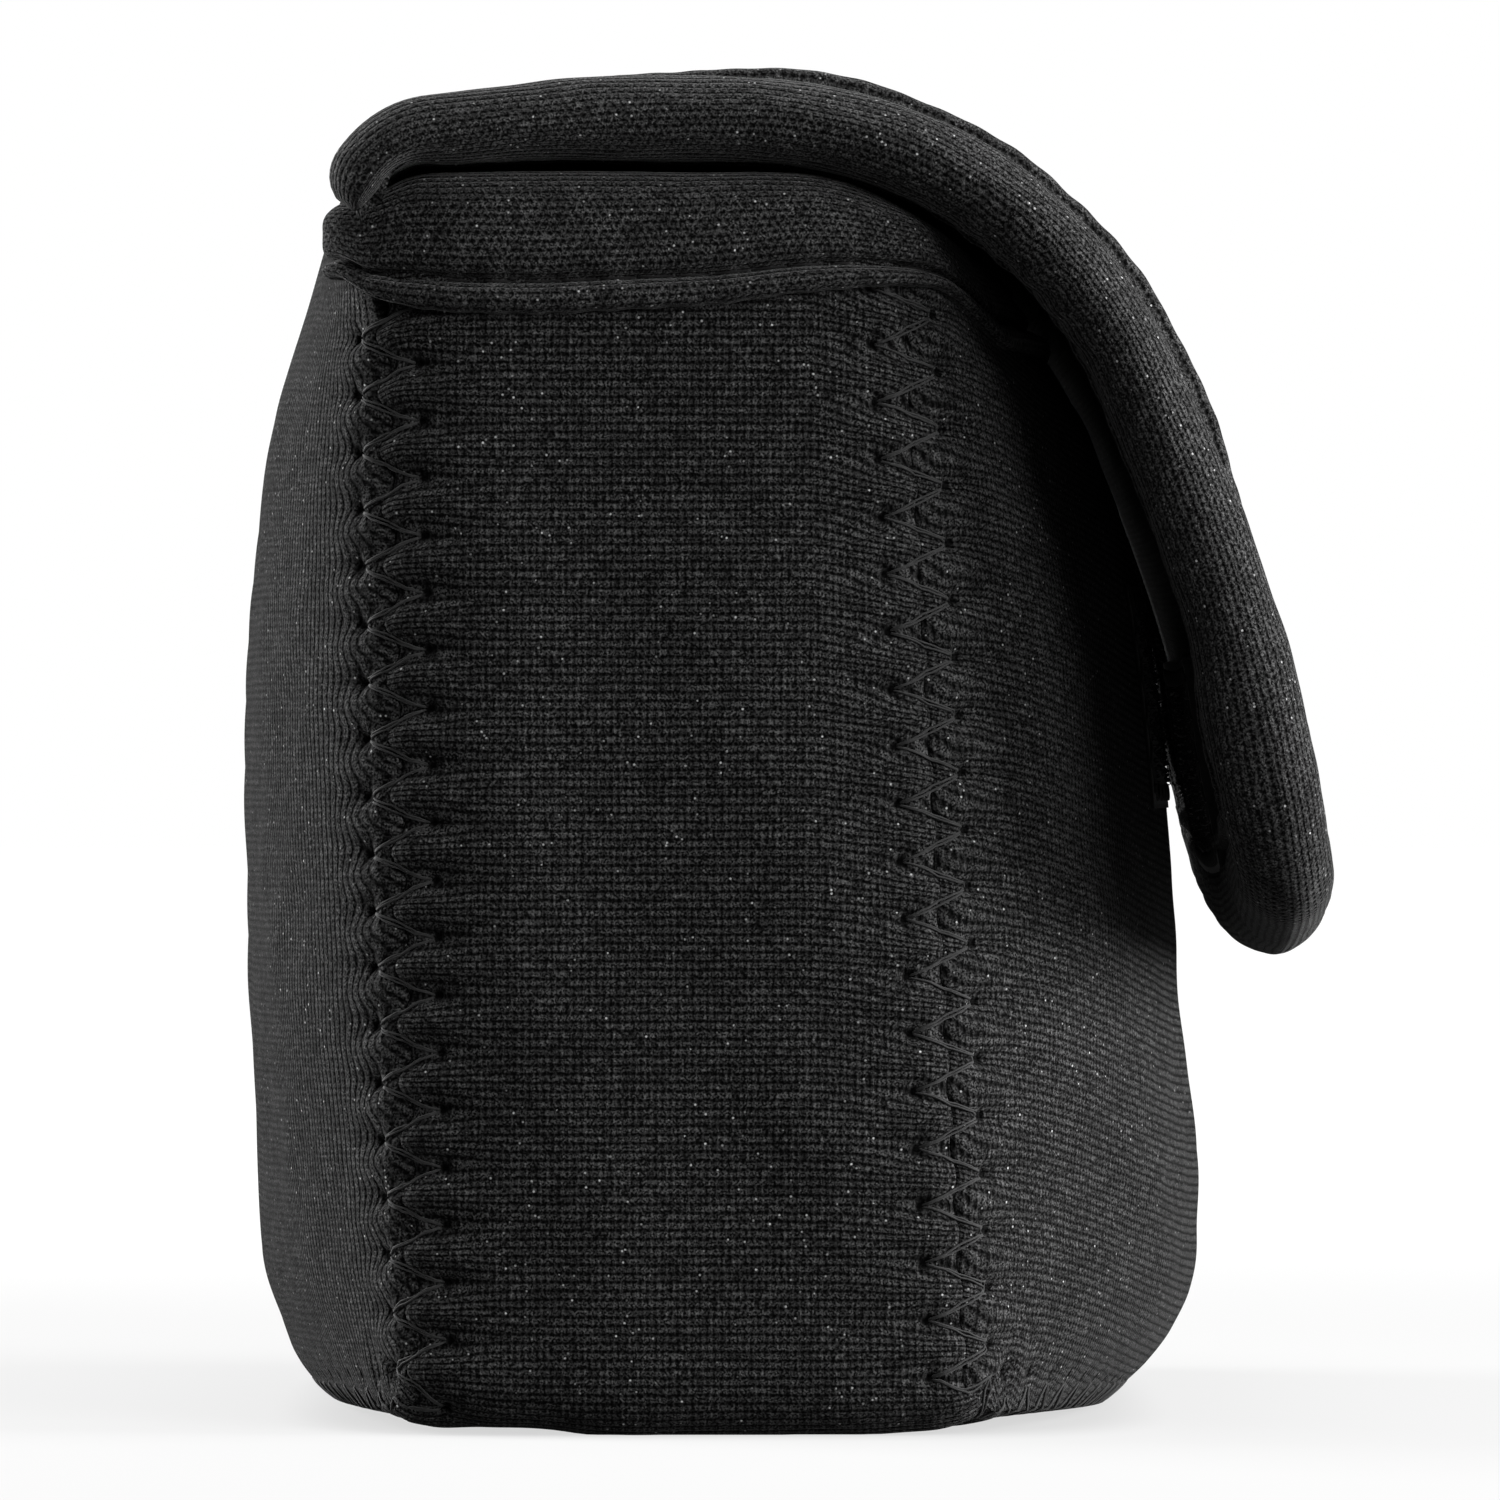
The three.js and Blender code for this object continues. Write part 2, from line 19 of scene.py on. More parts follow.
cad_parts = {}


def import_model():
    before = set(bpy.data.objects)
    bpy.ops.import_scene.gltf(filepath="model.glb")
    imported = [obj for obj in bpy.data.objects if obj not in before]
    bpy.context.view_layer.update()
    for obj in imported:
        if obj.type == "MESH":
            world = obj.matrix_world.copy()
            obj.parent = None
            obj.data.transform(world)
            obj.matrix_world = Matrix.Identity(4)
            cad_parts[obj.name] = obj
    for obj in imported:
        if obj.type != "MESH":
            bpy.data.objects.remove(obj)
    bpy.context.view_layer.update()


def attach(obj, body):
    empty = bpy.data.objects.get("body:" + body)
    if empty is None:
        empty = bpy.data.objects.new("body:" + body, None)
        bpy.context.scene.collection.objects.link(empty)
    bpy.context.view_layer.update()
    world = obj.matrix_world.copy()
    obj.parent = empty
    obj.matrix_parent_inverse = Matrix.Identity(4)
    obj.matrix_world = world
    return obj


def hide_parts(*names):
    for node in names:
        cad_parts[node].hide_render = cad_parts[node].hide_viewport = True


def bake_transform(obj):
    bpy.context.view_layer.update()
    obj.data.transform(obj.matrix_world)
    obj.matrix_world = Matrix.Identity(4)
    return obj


log = logging.getLogger("camera_case")
Array = np.ndarray
MM = 0.001
# What the seam map holds away from the seams.
FAR = 50.0
# How far the first rows of cloth and tape lie from the split between crown and tip.
LAP = 0.04


def mix(a: float | Array, b: float | Array, share: float | Array) -> float | Array:
    """Value a share of the way from a to b."""
    return a + (b - a) * share


def ease(value: float | Array, low: float, high: float) -> float | Array:
    """Smooth step from 0 at low to 1 at high."""
    s = np.clip((value - low) / (high - low), 0.0, 1.0)
    return s * s * (3 - 2 * s)


def unit(vectors: Array) -> Array:
    """Vectors of length 1 in the same directions."""
    return vectors / np.maximum(np.linalg.norm(vectors, axis=-1, keepdims=True), 1e-12)


def lengths_along(points: Array, axis: int = 0) -> Array:
    """Distance walked from the first point along one axis of a grid of points."""
    steps = np.linalg.norm(np.diff(points, axis=axis), axis=-1)
    start = np.zeros_like(np.take(steps, [0], axis=axis))
    return np.concatenate([start, np.cumsum(steps, axis=axis)], axis=axis)


def grid_normals(points: Array) -> Array:
    """Unit normals of a grid of points, by the right-hand rule from rows to columns."""
    return unit(np.cross(np.gradient(points, axis=0), np.gradient(points, axis=1)))


def through(stations: Sequence[tuple[float, float]], at: Array) -> Array:
    """Smooth values through stations, without overshoot.

    Args:
        stations: pairs of place and value, in rising order of place.
        at: places asked for.

    Returns:
        One value for each place.
    """
    place, value = np.array(stations, float).T
    slope = np.diff(value) / np.diff(place)
    product = slope[:-1] * slope[1:]
    total = np.where(product > 0, slope[:-1] + slope[1:], 1.0)
    inner = np.where(product > 0, 2 * product / total, 0.0)
    tangent = np.concatenate([slope[:1], inner, slope[-1:]])
    k = np.clip(np.searchsorted(place, at) - 1, 0, len(place) - 2)
    span = place[k + 1] - place[k]
    s = np.clip((at - place[k]) / span, 0.0, 1.0)
    pull = span * (tangent[k] * s * (1 - s) ** 2 - tangent[k + 1] * s * s * (1 - s))
    return mix(value[k], value[k + 1], s * s * (3 - 2 * s)) + pull


class Side(Enum):
    """The two panels, with the direction along Y that each one faces."""

    FRONT = -1
    BACK = 1


class Layer(Enum):
    """The two skins of the cloth, with how deep each one lies as a share of the thickness."""

    OUTER = 0
    INNER = 1


@dataclass(frozen=True)
class PanelForm:
    """One panel: its seam's reaches and lift, and its own reach from bottom to top.

    The last value holds pairs of height and reach in the panel's middle.
    """

    seam_foot: float
    seam_top: float
    seam_lift: float
    base_reach: float
    leave: float
    top_reach: float
    middle: tuple[tuple[float, float], ...]


@dataclass(frozen=True)
class FlapForm:
    """The flap's cloth: a middle line of tangent arcs from the hinge to the tip, and how it swells.

    Headings are degrees in the YZ plane. The pairs are distances from the hinge, with the share of
    its thickness that the underside keeps there.
    """

    hinge_y: float = 24.0
    hinge_z: float = 87.95
    before_root: float = 70.0
    before_radius: float = 12.0
    headings: tuple[float, ...] = (52.0, 8.5, 0.0, -65.5)
    radii: tuple[float, ...] = (6.0, 147.0, 30.3, 136.0)
    tip_length: float = 43.0
    width: float = 120.0
    corner: float = 11.0
    pressed: tuple[tuple[float, float], ...] = (
        (-9.0, 0.25), (0.0, 0.27), (6.0, 0.58), (34.0, 1.0),
        (80.0, 1.0), (91.0, 1.25), (97.0, 1.22), (104.0, 1.0),
    )
    arch: float = 4.0
    arch_reach: float = 40.0
    dome: float = 1.0

    def arcs(self) -> list[tuple[float, float, float]]:
        """Start heading, end heading and radius of each arc, in radians and millimetres."""
        turns = [math.radians(h) for h in (self.before_root, *self.headings)]
        turns.append(turns[-1] - self.tip_length / self.radii[-1])
        radii = (self.before_radius, *self.radii)
        return [(turns[k], turns[k + 1], radii[k]) for k in range(len(radii))]

    def lead(self) -> float:
        """Length of the stretch before the hinge."""
        start, end, radius = self.arcs()[0]
        return (start - end) * radius

    def length(self) -> float:
        """Length of the middle line from the hinge to the tip."""
        return sum((a - b) * radius for a, b, radius in self.arcs()[1:])

    def line(self, distance: Array) -> tuple[Array, Array, Array]:
        """Place and heading of the middle line.

        Args:
            distance: distances from the hinge, down to minus the lead.

        Returns:
            Y, Z and the heading, which is positive upwards and runs towards the front.
        """
        arcs = self.arcs()
        length = np.array([(a - b) * radius for a, b, radius in arcs])
        start = np.concatenate([[0], np.cumsum(length)[:-1]]) - self.lead()
        y, z = [self.hinge_y], [self.hinge_z]
        for a, b, radius in arcs[1:]:
            y.append(y[-1] - radius * (math.sin(a) - math.sin(b)))
            z.append(z[-1] + radius * (math.cos(b) - math.cos(a)))
        a, b, radius = arcs[0]
        y.insert(0, y[0] + radius * (math.sin(a) - math.sin(b)))
        z.insert(0, z[0] - radius * (math.cos(b) - math.cos(a)))
        k = np.clip(np.searchsorted(start, distance, side="right") - 1, 0, len(arcs) - 1)
        first, radii = np.array([arc[0] for arc in arcs])[k], np.array([arc[2] for arc in arcs])[k]
        walked = np.clip(distance - start[k], 0, length[k])
        heading = first - walked / radii
        past = distance - start[k] - walked
        at_y = np.array(y)[k] - radii * (np.sin(first) - np.sin(heading)) - past * np.cos(heading)
        at_z = np.array(z)[k] + radii * (np.cos(heading) - np.cos(first)) + past * np.sin(heading)
        return at_y, at_z, heading

    def press(self, distance: Array) -> Array:
        """Share of its thickness that the underside keeps, because the cloth is pressed at the fold."""
        return through(self.pressed, distance)

    def swell(self, x: Array, distance: Array) -> Array:
        """How far the arched cloth stands up between the bindings, and the bindings' rolls sink."""
        inside = ease(self.width / 2 - np.abs(x), 6.6, 8.2) - 0.5
        return self.dome * inside * ease(distance, 12.0, 30.0) * ease(distance, 80.0, 62.0)

    def point(self, x: Array, distance: Array, off: Array) -> Array:
        """Points of the flap, off the middle line towards the outside."""
        x, distance, off = np.broadcast_arrays(x, distance, off)
        length = self.length()
        beside = (x / (self.width / 2)) ** 2
        arched = self.arch * beside * ease(distance, length - self.arch_reach, length)
        y, z, heading = self.line(distance - arched)
        raised = off + self.swell(x, distance) * np.clip(off / 2, 0, 1)
        off = np.where(off < 0, off * self.press(distance), raised)
        y, z = y + off * np.sin(heading), z + off * np.cos(heading)
        return np.stack(np.broadcast_arrays(x, y, z), axis=-1)


@dataclass(frozen=True)
class CaseForm:
    """Shape of the case body. Path values t run from 0 at the rim to 1 at the middle of the base."""

    cloth: float = 4.0
    width: float = 119.0
    taper: float = 1.5
    rim: float = 88.0
    foot: float = 3.6
    slant: float = math.radians(24.0)
    seam_tuck: float = 1.6
    seam_gap: float = 0.1
    flat_share: float = 0.5
    roll: float = 3.2
    tape_wall: float = 1.3
    rim_gap: float = 0.15
    corner_top: float = 84.9
    swell_run: float = 0.75
    swell_crest: float = 0.55
    flap: FlapForm = field(default_factory=FlapForm)
    front: PanelForm = PanelForm(
        17.3, 12.4, 0.3, 28.0, math.radians(30.0), 18.2,
        (
            (1.5, 29.4), (3.2, 31.2), (5.5, 32.9), (8.3, 34.0),
            (11.9, 34.4), (41.4, 32.7), (59.8, 30.3), (70.4, 26.8),
        ),
    )
    back: PanelForm = PanelForm(
        21.3, 24.0, 0.8, 28.6, math.radians(24.0), 26.8,
        ((2.3, 30.2), (4.5, 31.6), (11.9, 33.7), (48.4, 34.9), (67.8, 33.6), (76.1, 31.4)),
    )

    def panel(self, side: Side) -> PanelForm:
        """The panel's form on one side."""
        return self.front if side is Side.FRONT else self.back

    def rim_top(self, y: Array) -> Array:
        """Height of the rolled rim whose middle stands at y: level, but never into the flap above it."""
        distance = np.linspace(-self.flap.lead(), self.flap.length(), 2000)
        under = self.flap.point(0.0, distance, np.full_like(distance, -self.roll))
        y = np.asarray(y, float)
        top = np.full(y.shape, self.rim)
        for out in np.linspace(0, self.roll, 7):
            drop = self.roll - math.sqrt(self.roll**2 - out**2)
            over = np.interp(-(y - out), -under[:, 1], under[:, 2])
            top = np.minimum(top, over + drop - self.rim_gap)
        return top

    def cloth_top(self, y: Array) -> Array:
        """Height of the cloth inside the rim's tape, which sinks under the flap's root."""
        high = self.rim_top(y) - self.tape_wall
        return mix(high, np.minimum(high, self.corner_top), ease(y, 21.0, 27.0))

    def strip_path(self, t: Array, top: Array) -> tuple[Array, Array, Array, Array]:
        """Left half of the strip's outer line.

        Args:
            t: path values.
            top: height of the cloth's edge at the rim.

        Returns:
            X and Z of the line, and X and Z of the inward direction.
        """
        t, top = np.broadcast_arrays(np.asarray(t, float), np.asarray(top, float))
        side, arc = self.rim - self.foot, math.pi / 4 * self.foot
        base = self.width / 2 - self.foot
        down = t / 0.5 * (side + arc)
        straight = (t <= 0.5) & (down < side)
        height = mix(top, self.foot, down / side)
        rise = (height - self.foot) / side
        along = np.where(t <= 0.5, down - side, arc + (t - 0.5) / 0.5 * (arc + base))
        angle = np.clip(along / self.foot, 0, math.pi / 2)
        run = np.maximum(along - 2 * arc, 0)
        bend_x = self.foot * (1 - np.cos(angle)) + run
        x = -self.width / 2 + np.where(straight, self.taper * rise * rise, bend_x)
        z = np.where(straight, height, self.foot * (1 - np.sin(angle)))
        return x, z, np.where(straight, 1.0, np.cos(angle)), np.where(straight, 0.0, np.sin(angle))

    def seam_line(self, side: Side, t: Array) -> Array:
        """Points of the seam between the strip and one panel, on the outer skin."""
        form = self.panel(side)
        x, z, in_x, in_z = self.strip_path(t, self.cloth_top(np.array(side.value * form.seam_top)))
        across = np.minimum(1.0, x / (self.width / 2)) ** 2
        spread = np.where(z >= self.foot, 0.0, np.maximum(0.0, 1 - across))
        reach = mix(form.seam_foot, form.seam_top, z / self.rim)
        reach = reach + (form.base_reach - form.seam_foot) * spread**0.8
        tuck = self.seam_tuck + (form.seam_lift - self.seam_tuck) * spread**2
        return np.stack([x + in_x * tuck, side.value * reach, z + in_z * tuck], axis=-1)

    def seam_edge(self, side: Side, t: Array, layer: Layer, on_panel: bool) -> Array:
        """Edge of the strip or of a panel at their seam, on one skin."""
        probe = 0.01
        form = self.panel(side)
        point = self.seam_line(side, t)
        after, before = np.minimum(1.0, t + probe), np.maximum(0.0, t - probe)
        along = self.seam_line(side, after) - self.seam_line(side, before)
        top = self.cloth_top(np.array(side.value * form.seam_top))
        _, _, in_x, in_z = self.strip_path(t, top)
        cos, sin = math.cos(self.slant), math.sin(self.slant)
        out = np.stack([-in_x * cos, np.full_like(in_x, side.value * sin), -in_z * cos], axis=-1)
        across = unit(np.cross(along, out))
        towards = np.sign(across[..., 1:2]) * side.value
        back = self.seam_gap / 2 if on_panel else -self.seam_gap / 2
        depth = layer.value * self.cloth / math.cos(self.slant / 2)
        return point + across * towards * back - out * depth

    def strip_skin(self, t: Array, across: Array, layer: Layer) -> Array:
        """Left half of the strip: a row for each t, from the front seam at -1 to the back seam at 1."""
        edges = [self.seam_edge(side, t, layer, False)[:, None, :] for side in Side]
        y = mix(edges[0][..., 1], edges[1][..., 1], (across[None, :] + 1) / 2)
        x, z, in_x, in_z = self.strip_path(t[:, None], self.cloth_top(y))
        skin = layer.value * self.cloth
        off = np.full_like(x, skin)
        beyond = np.maximum(0, (np.abs(across) - self.flat_share) / (1 - self.flat_share)) ** 2
        for edge, chosen in zip(edges, (across < 0, across >= 0)):
            line_x, line_z, _, _ = self.strip_path(t[:, None], self.cloth_top(edge[..., 1]))
            inset = (edge[..., 0] - line_x) * in_x + (edge[..., 2] - line_z) * in_z - skin
            off = off + np.where(chosen, inset * beyond, 0.0)
        return np.stack([x + in_x * off, y, z + in_z * off], axis=-1)

    def panel_rows(self, side: Side, up: Array, across: Array, layer: Layer) -> Array:
        """A panel's level rows, before its foot is drawn to the base seam."""
        form = self.panel(side)
        edge = self.seam_edge(side, (1 - up) / 2, layer, True)
        low, high = self.seam_edge(side, np.array([0.5, 0.0]), layer, True)
        middle_low = self.seam_edge(side, np.array([1.0]), layer, True)[0, 2]
        top = self.panel_top(side)
        rise = (edge[:, 2] - low[2]) / (high[2] - low[2])
        height = mix(middle_low, top, rise)
        stations = ((form.seam_lift, form.base_reach), *form.middle, (top, form.top_reach))
        reach = through(stations, height) - layer.value * self.cloth
        edge_x, edge_y = -edge[:, 0], np.abs(edge[:, 1])
        run = self.swell_run * np.maximum(0.5, reach - edge_y)
        s = (1 - np.abs(across))[None, :]
        weights = ((1 - s) ** 3, 3 * s * (1 - s) ** 2, 3 * s * s * (1 - s), s**3)
        out_x = (edge_x, edge_x - run * math.tan(form.leave), edge_x * self.swell_crest, 0 * edge_x)
        out_y = (edge_y, edge_y + run, reach, reach)
        x = sum(w * v[:, None] for w, v in zip(weights, out_x))
        y = sum(w * v[:, None] for w, v in zip(weights, out_y))
        crowned = 1 - across[None, :] ** 2
        beside_tape = ease(np.abs(x), self.flap.width / 2 - 12, self.flap.width / 2 - 18)
        level = crowned if side is Side.FRONT else beside_tape
        share = mix(crowned, level, up[:, None] ** 8)
        z = mix(edge[:, 2][:, None], height[:, None], share)
        return np.stack([np.sign(across)[None, :] * x, side.value * y, z], axis=-1)

    def panel_top(self, side: Side) -> float:
        """Height of a panel's cloth at the middle of its top edge."""
        if side is Side.FRONT:
            return float(self.cloth_top(np.array(self.cloth / 2 - self.front.top_reach)))
        return self.flap.hinge_z - self.cloth / 2 - self.rim_gap

    def panel_skin(self, side: Side, up: Array, across: Array, layer: Layer) -> Array:
        """One panel: a row for each height share up, and a column for each share across."""
        rows = self.panel_rows(side, up, across, layer)
        lowest = self.panel_rows(side, np.array([0.0]), across, layer)
        base = self.seam_edge(side, 1 - np.abs(across) / 2, layer, True)
        base[:, 0] *= np.where(across < 0, 1.0, -1.0)
        hold = ((1 - up) ** 5)[:, None, None]
        return rows + hold * (base[None] - lowest)


@dataclass(frozen=True)
class ZigzagSeam:
    """A zigzag seam: its stitch pitch and width, its highest needle hole and how it pulls the cloth."""

    side: Side
    pitch: float
    width: float
    hole_height: float
    crease: float
    pucker: float
    pull: float
    sway: float

    furrow = 0.34
    crease_reach = 0.7
    bulge_reach = 2.6
    hole = 0.55
    trail = (0.9, 1.6)
    trail_share = 0.5
    bulge_height = 0.42
    hole_depth = 0.5
    furrow_depth = 0.14
    drawn_reach = 4.2

    def path(self, form: CaseForm) -> Array:
        """The seam's whole line, from the left rim round the base to the right rim."""
        left = form.seam_line(self.side, np.linspace(0, 1, 3001))
        right = left[:-1][::-1] * np.array([-1, 1, 1])
        return np.concatenate([left, right])

    def phase(self, along: Array, path: Array) -> Array:
        """Stitch count at a distance along the seam, whole at each needle hole on the panel."""
        first = np.interp(-self.hole_height, -path[:3001, 2], lengths_along(path)[:3001])
        return (along - first) / self.pitch

    def relief(self, along: Array, across: Array, path: Array) -> Array:
        """Height of the cloth beside the seam: its crease, the threads' furrows and the puckers.

        Args:
            along: distances along the seam.
            across: distances from it, positive on the panel.
            path: the seam's line.

        Returns:
            Heights off the plain surface.
        """
        phase = self.phase(along, path)
        turn = phase - np.floor(phase)
        wave = 4 * np.abs(turn - 0.5) - 1
        half = self.width / 2
        slope = math.cos(math.atan2(2 * self.width, self.pitch))
        inside = ease(-np.abs(across), -half - 0.6, -half + 0.2)
        thread = np.exp(-(((across - half * wave) * slope / self.furrow) ** 2)) * inside
        crease = np.exp(-((across / self.crease_reach) ** 2))
        bulge = np.zeros_like(across)
        holes = np.zeros_like(across)
        for sign, shift in ((1, 0.0), (-1, 0.5)):
            local = phase - shift
            near = (local - np.round(local)) * self.pitch
            beyond = sign * across - half
            swell = 0.5 - 0.5 * np.cos(2 * math.pi * local)
            inner = ease(sign * across, -0.8, 0.6 * half)
            reach = np.where(beyond > 0, np.exp(-((beyond / self.bulge_reach) ** 2)), inner)
            bulge += swell * reach * (sign * across > 0)
            holes += np.exp(-((near**2 + beyond**2) / self.hole**2))
            wide, long = self.trail
            holes += self.trail_share * np.exp(-((near / wide) ** 2 + ((beyond - wide) / long) ** 2))
        raised = self.bulge_height * bulge - self.hole_depth * holes - self.furrow_depth * thread
        return self.pucker * raised - self.crease * crease

    def drawn(self, along: Array, across: Array, path: Array) -> Array:
        """How far the knit's rows are drawn along the seam, towards the far holes."""
        phase = self.phase(along, path)
        fade = np.exp(-(((np.abs(across) - 0.5) / self.drawn_reach) ** 2))
        shift = np.where(across < 0, 0.0, 0.5)
        return self.pull * fade * self.pitch * np.sin(2 * math.pi * (phase - shift)) / (2 * math.pi)


def quads_of(values: Array) -> Array:
    """The four corner values of each quad of a grid, on the third axis."""
    return np.stack([values[:-1, :-1], values[:-1, 1:], values[1:, 1:], values[1:, :-1]], axis=2)


class MeshDraft:
    """Collects points, faces and the two maps of one closed piece, and turns them into an object."""

    def __init__(self, name: str) -> None:
        """Starts an empty draft under the piece's name."""
        self.name = name
        self.points: list[Array] = []
        self.count = 0
        self.corners: list[Array] = []
        self.sizes: list[Array] = []
        self.maps: dict[str, list[Array]] = {"knit": [], "seam": []}
        self.vertex_maps: dict[str, list[Array]] = {"knit": [], "seam": []}

    def add(self, points: Array, knit: Array, seam: Array | None = None) -> Array:
        """Adds a grid of points with its maps, and returns the grid of their numbers."""
        flat = points.reshape(-1, 3)
        far = np.full((len(flat), 2), FAR)
        ids = np.arange(self.count, self.count + len(flat)).reshape(points.shape[:2])
        self.points.append(flat)
        self.vertex_maps["knit"].append(knit.reshape(-1, 2))
        self.vertex_maps["seam"].append(far if seam is None else seam.reshape(-1, 2))
        self.count += len(flat)
        return ids

    def faces(self, corners: Array, maps: dict[str, Array] | None = None) -> None:
        """Adds faces of three or four corners, with their maps taken from the points by default."""
        self.corners.append(corners.reshape(-1))
        self.sizes.append(np.full(len(corners), corners.shape[1]))
        for key in self.maps:
            table = np.concatenate(self.vertex_maps[key])
            given = maps[key] if maps else table[corners]
            self.maps[key].append(given.reshape(-1, 2))

    def grid(self, ids: Array, flip: bool = False) -> None:
        """Adds the quads of a grid."""
        quads = quads_of(ids).reshape(-1, 4)
        self.faces(quads[:, ::-1] if flip else quads)

    def tube(self, ids: Array, knit: Array) -> None:
        """Adds the quads round a tube, whose knit map has one column more than the points."""
        corners = quads_of(np.concatenate([ids, ids[:, :1]], axis=1)).reshape(-1, 4)
        maps = {"knit": quads_of(knit).reshape(-1, 4, 2), "seam": np.full((len(corners), 4, 2), FAR)}
        self.faces(corners, maps)

    def bridge(self, first: Array, second: Array) -> None:
        """Joins two open edges of different counts with triangles."""
        a, b = 0, 0
        made = []
        while a < len(first) - 1 or b < len(second) - 1:
            step_a = (a + 1) / max(len(first) - 1, 1)
            step_b = (b + 1) / max(len(second) - 1, 1)
            if b == len(second) - 1 or (a < len(first) - 1 and step_a <= step_b):
                made.append((first[a], second[b], first[a + 1]))
                a += 1
            else:
                made.append((first[a], second[b], second[b + 1]))
                b += 1
        self.faces(np.array(made))

    def fan(self, ring: Array, flip: bool = False) -> None:
        """Closes a ring with triangles to its middle."""
        table = np.concatenate(self.points)
        knit = np.concatenate(self.vertex_maps["knit"])[ring].mean(0)
        middle = self.add(table[ring].mean(0)[None, None, :], knit[None, None, :])[0, 0]
        following = np.roll(ring, -1)
        fan = np.stack([ring, following, np.full_like(ring, middle)], axis=-1)
        self.faces(fan[:, ::-1] if flip else fan)

    def build(self, material: bpy.types.Material) -> bpy.types.Object:
        """Writes the mesh, turned so that its faces point outwards."""
        points = np.concatenate(self.points) * MM
        corners = np.concatenate(self.corners).astype(np.int32)
        sizes = np.concatenate(self.sizes).astype(np.int32)
        maps = {key: np.concatenate(rows) for key, rows in self.maps.items()}
        starts = np.concatenate([[0], np.cumsum(sizes)[:-1]]).astype(np.int32)
        a, b, c = (points[corners[starts + k]] for k in range(3))
        volume = np.einsum("ij,ij->i", a, np.cross(b, c)).sum()
        quads = sizes == 4
        d = points[corners[starts[quads] + 3]]
        volume += np.einsum("ij,ij->i", a[quads], np.cross(c[quads], d)).sum()
        if volume < 0:
            order = np.concatenate([np.arange(s + n - 1, s - 1, -1) for s, n in zip(starts, sizes)])
            corners = corners[order]
            maps = {key: rows[order] for key, rows in maps.items()}
        mesh = bpy.data.meshes.new(self.name)
        mesh.vertices.add(len(points))
        mesh.vertices.foreach_set("co", points.astype(np.float32).ravel())
        mesh.loops.add(len(corners))
        mesh.loops.foreach_set("vertex_index", corners)
        mesh.polygons.add(len(sizes))
        mesh.polygons.foreach_set("loop_start", starts)
        mesh.polygons.foreach_set("loop_total", sizes)
        mesh.update(calc_edges=True)
        for key, rows in maps.items():
            layer = mesh.uv_layers.new(name=key)
            layer.data.foreach_set("uv", rows.astype(np.float32).ravel())
        mesh.validate()
        mesh.shade_smooth()
        mesh.materials.append(material)
        return placed(self.name, mesh)


def placed(name: str, data: bpy.types.ID) -> bpy.types.Object:
    """A new object in the scene, at the origin."""
    made = bpy.data.objects.new(name, data)
    bpy.context.scene.collection.objects.link(made)
    return made


def plug(tree: bpy.types.NodeTree, slot: bpy.types.NodeSocket, value: object) -> None:
    """Links a value to an input, or sets it there when it is a plain one."""
    value = value.link if isinstance(value, Socket) else value
    if isinstance(value, bpy.types.NodeSocket):
        tree.links.new(value, slot)
    else:
        slot.default_value = value


class Socket:
    """A node's value that Python's operators work on: each one adds its Math node."""

    def __init__(self, tree: bpy.types.NodeTree, link: bpy.types.NodeSocket | float) -> None:
        """Wraps an output socket or a plain number."""
        self.tree = tree
        self.link = link

    def math(self, operation: str, *others: "Socket | float") -> "Socket":
        """Adds one Math node with this value first."""
        node = self.tree.nodes.new("ShaderNodeMath")
        node.operation = operation
        for slot, value in zip(node.inputs, (self, *others)):
            plug(self.tree, slot, value)
        return Socket(self.tree, node.outputs[0])

    def __add__(self, other: "Socket | float") -> "Socket":
        """Sum."""
        return self.math("ADD", other)

    __radd__ = __add__

    def __mul__(self, other: "Socket | float") -> "Socket":
        """Product."""
        return self.math("MULTIPLY", other)

    __rmul__ = __mul__

    def __sub__(self, other: "Socket | float") -> "Socket":
        """Difference."""
        return self.math("SUBTRACT", other)

    def __rsub__(self, other: float) -> "Socket":
        """Difference from a number."""
        return Socket(self.tree, other).math("SUBTRACT", self)

    def __truediv__(self, other: "Socket | float") -> "Socket":
        """Quotient."""
        return self.math("DIVIDE", other)

    def __pow__(self, other: "Socket | float") -> "Socket":
        """Power."""
        return self.math("POWER", other)

    def wave(self) -> "Socket":
        """1 at whole numbers and 0 halfway between them."""
        return (self * (2 * math.pi)).math("COSINE") * 0.5 + 0.5

    def step(self, low: float, high: float) -> "Socket":
        """Smooth step from 0 at low to 1 at high."""
        node = self.tree.nodes.new("ShaderNodeMapRange")
        node.interpolation_type = "SMOOTHSTEP"
        self.tree.links.new(self.link, node.inputs["Value"])
        node.inputs["From Min"].default_value = min(low, high)
        node.inputs["From Max"].default_value = max(low, high)
        node.inputs["To Min"].default_value = 0.0 if low < high else 1.0
        node.inputs["To Max"].default_value = 1.0 if low < high else 0.0
        return Socket(self.tree, node.outputs["Result"])


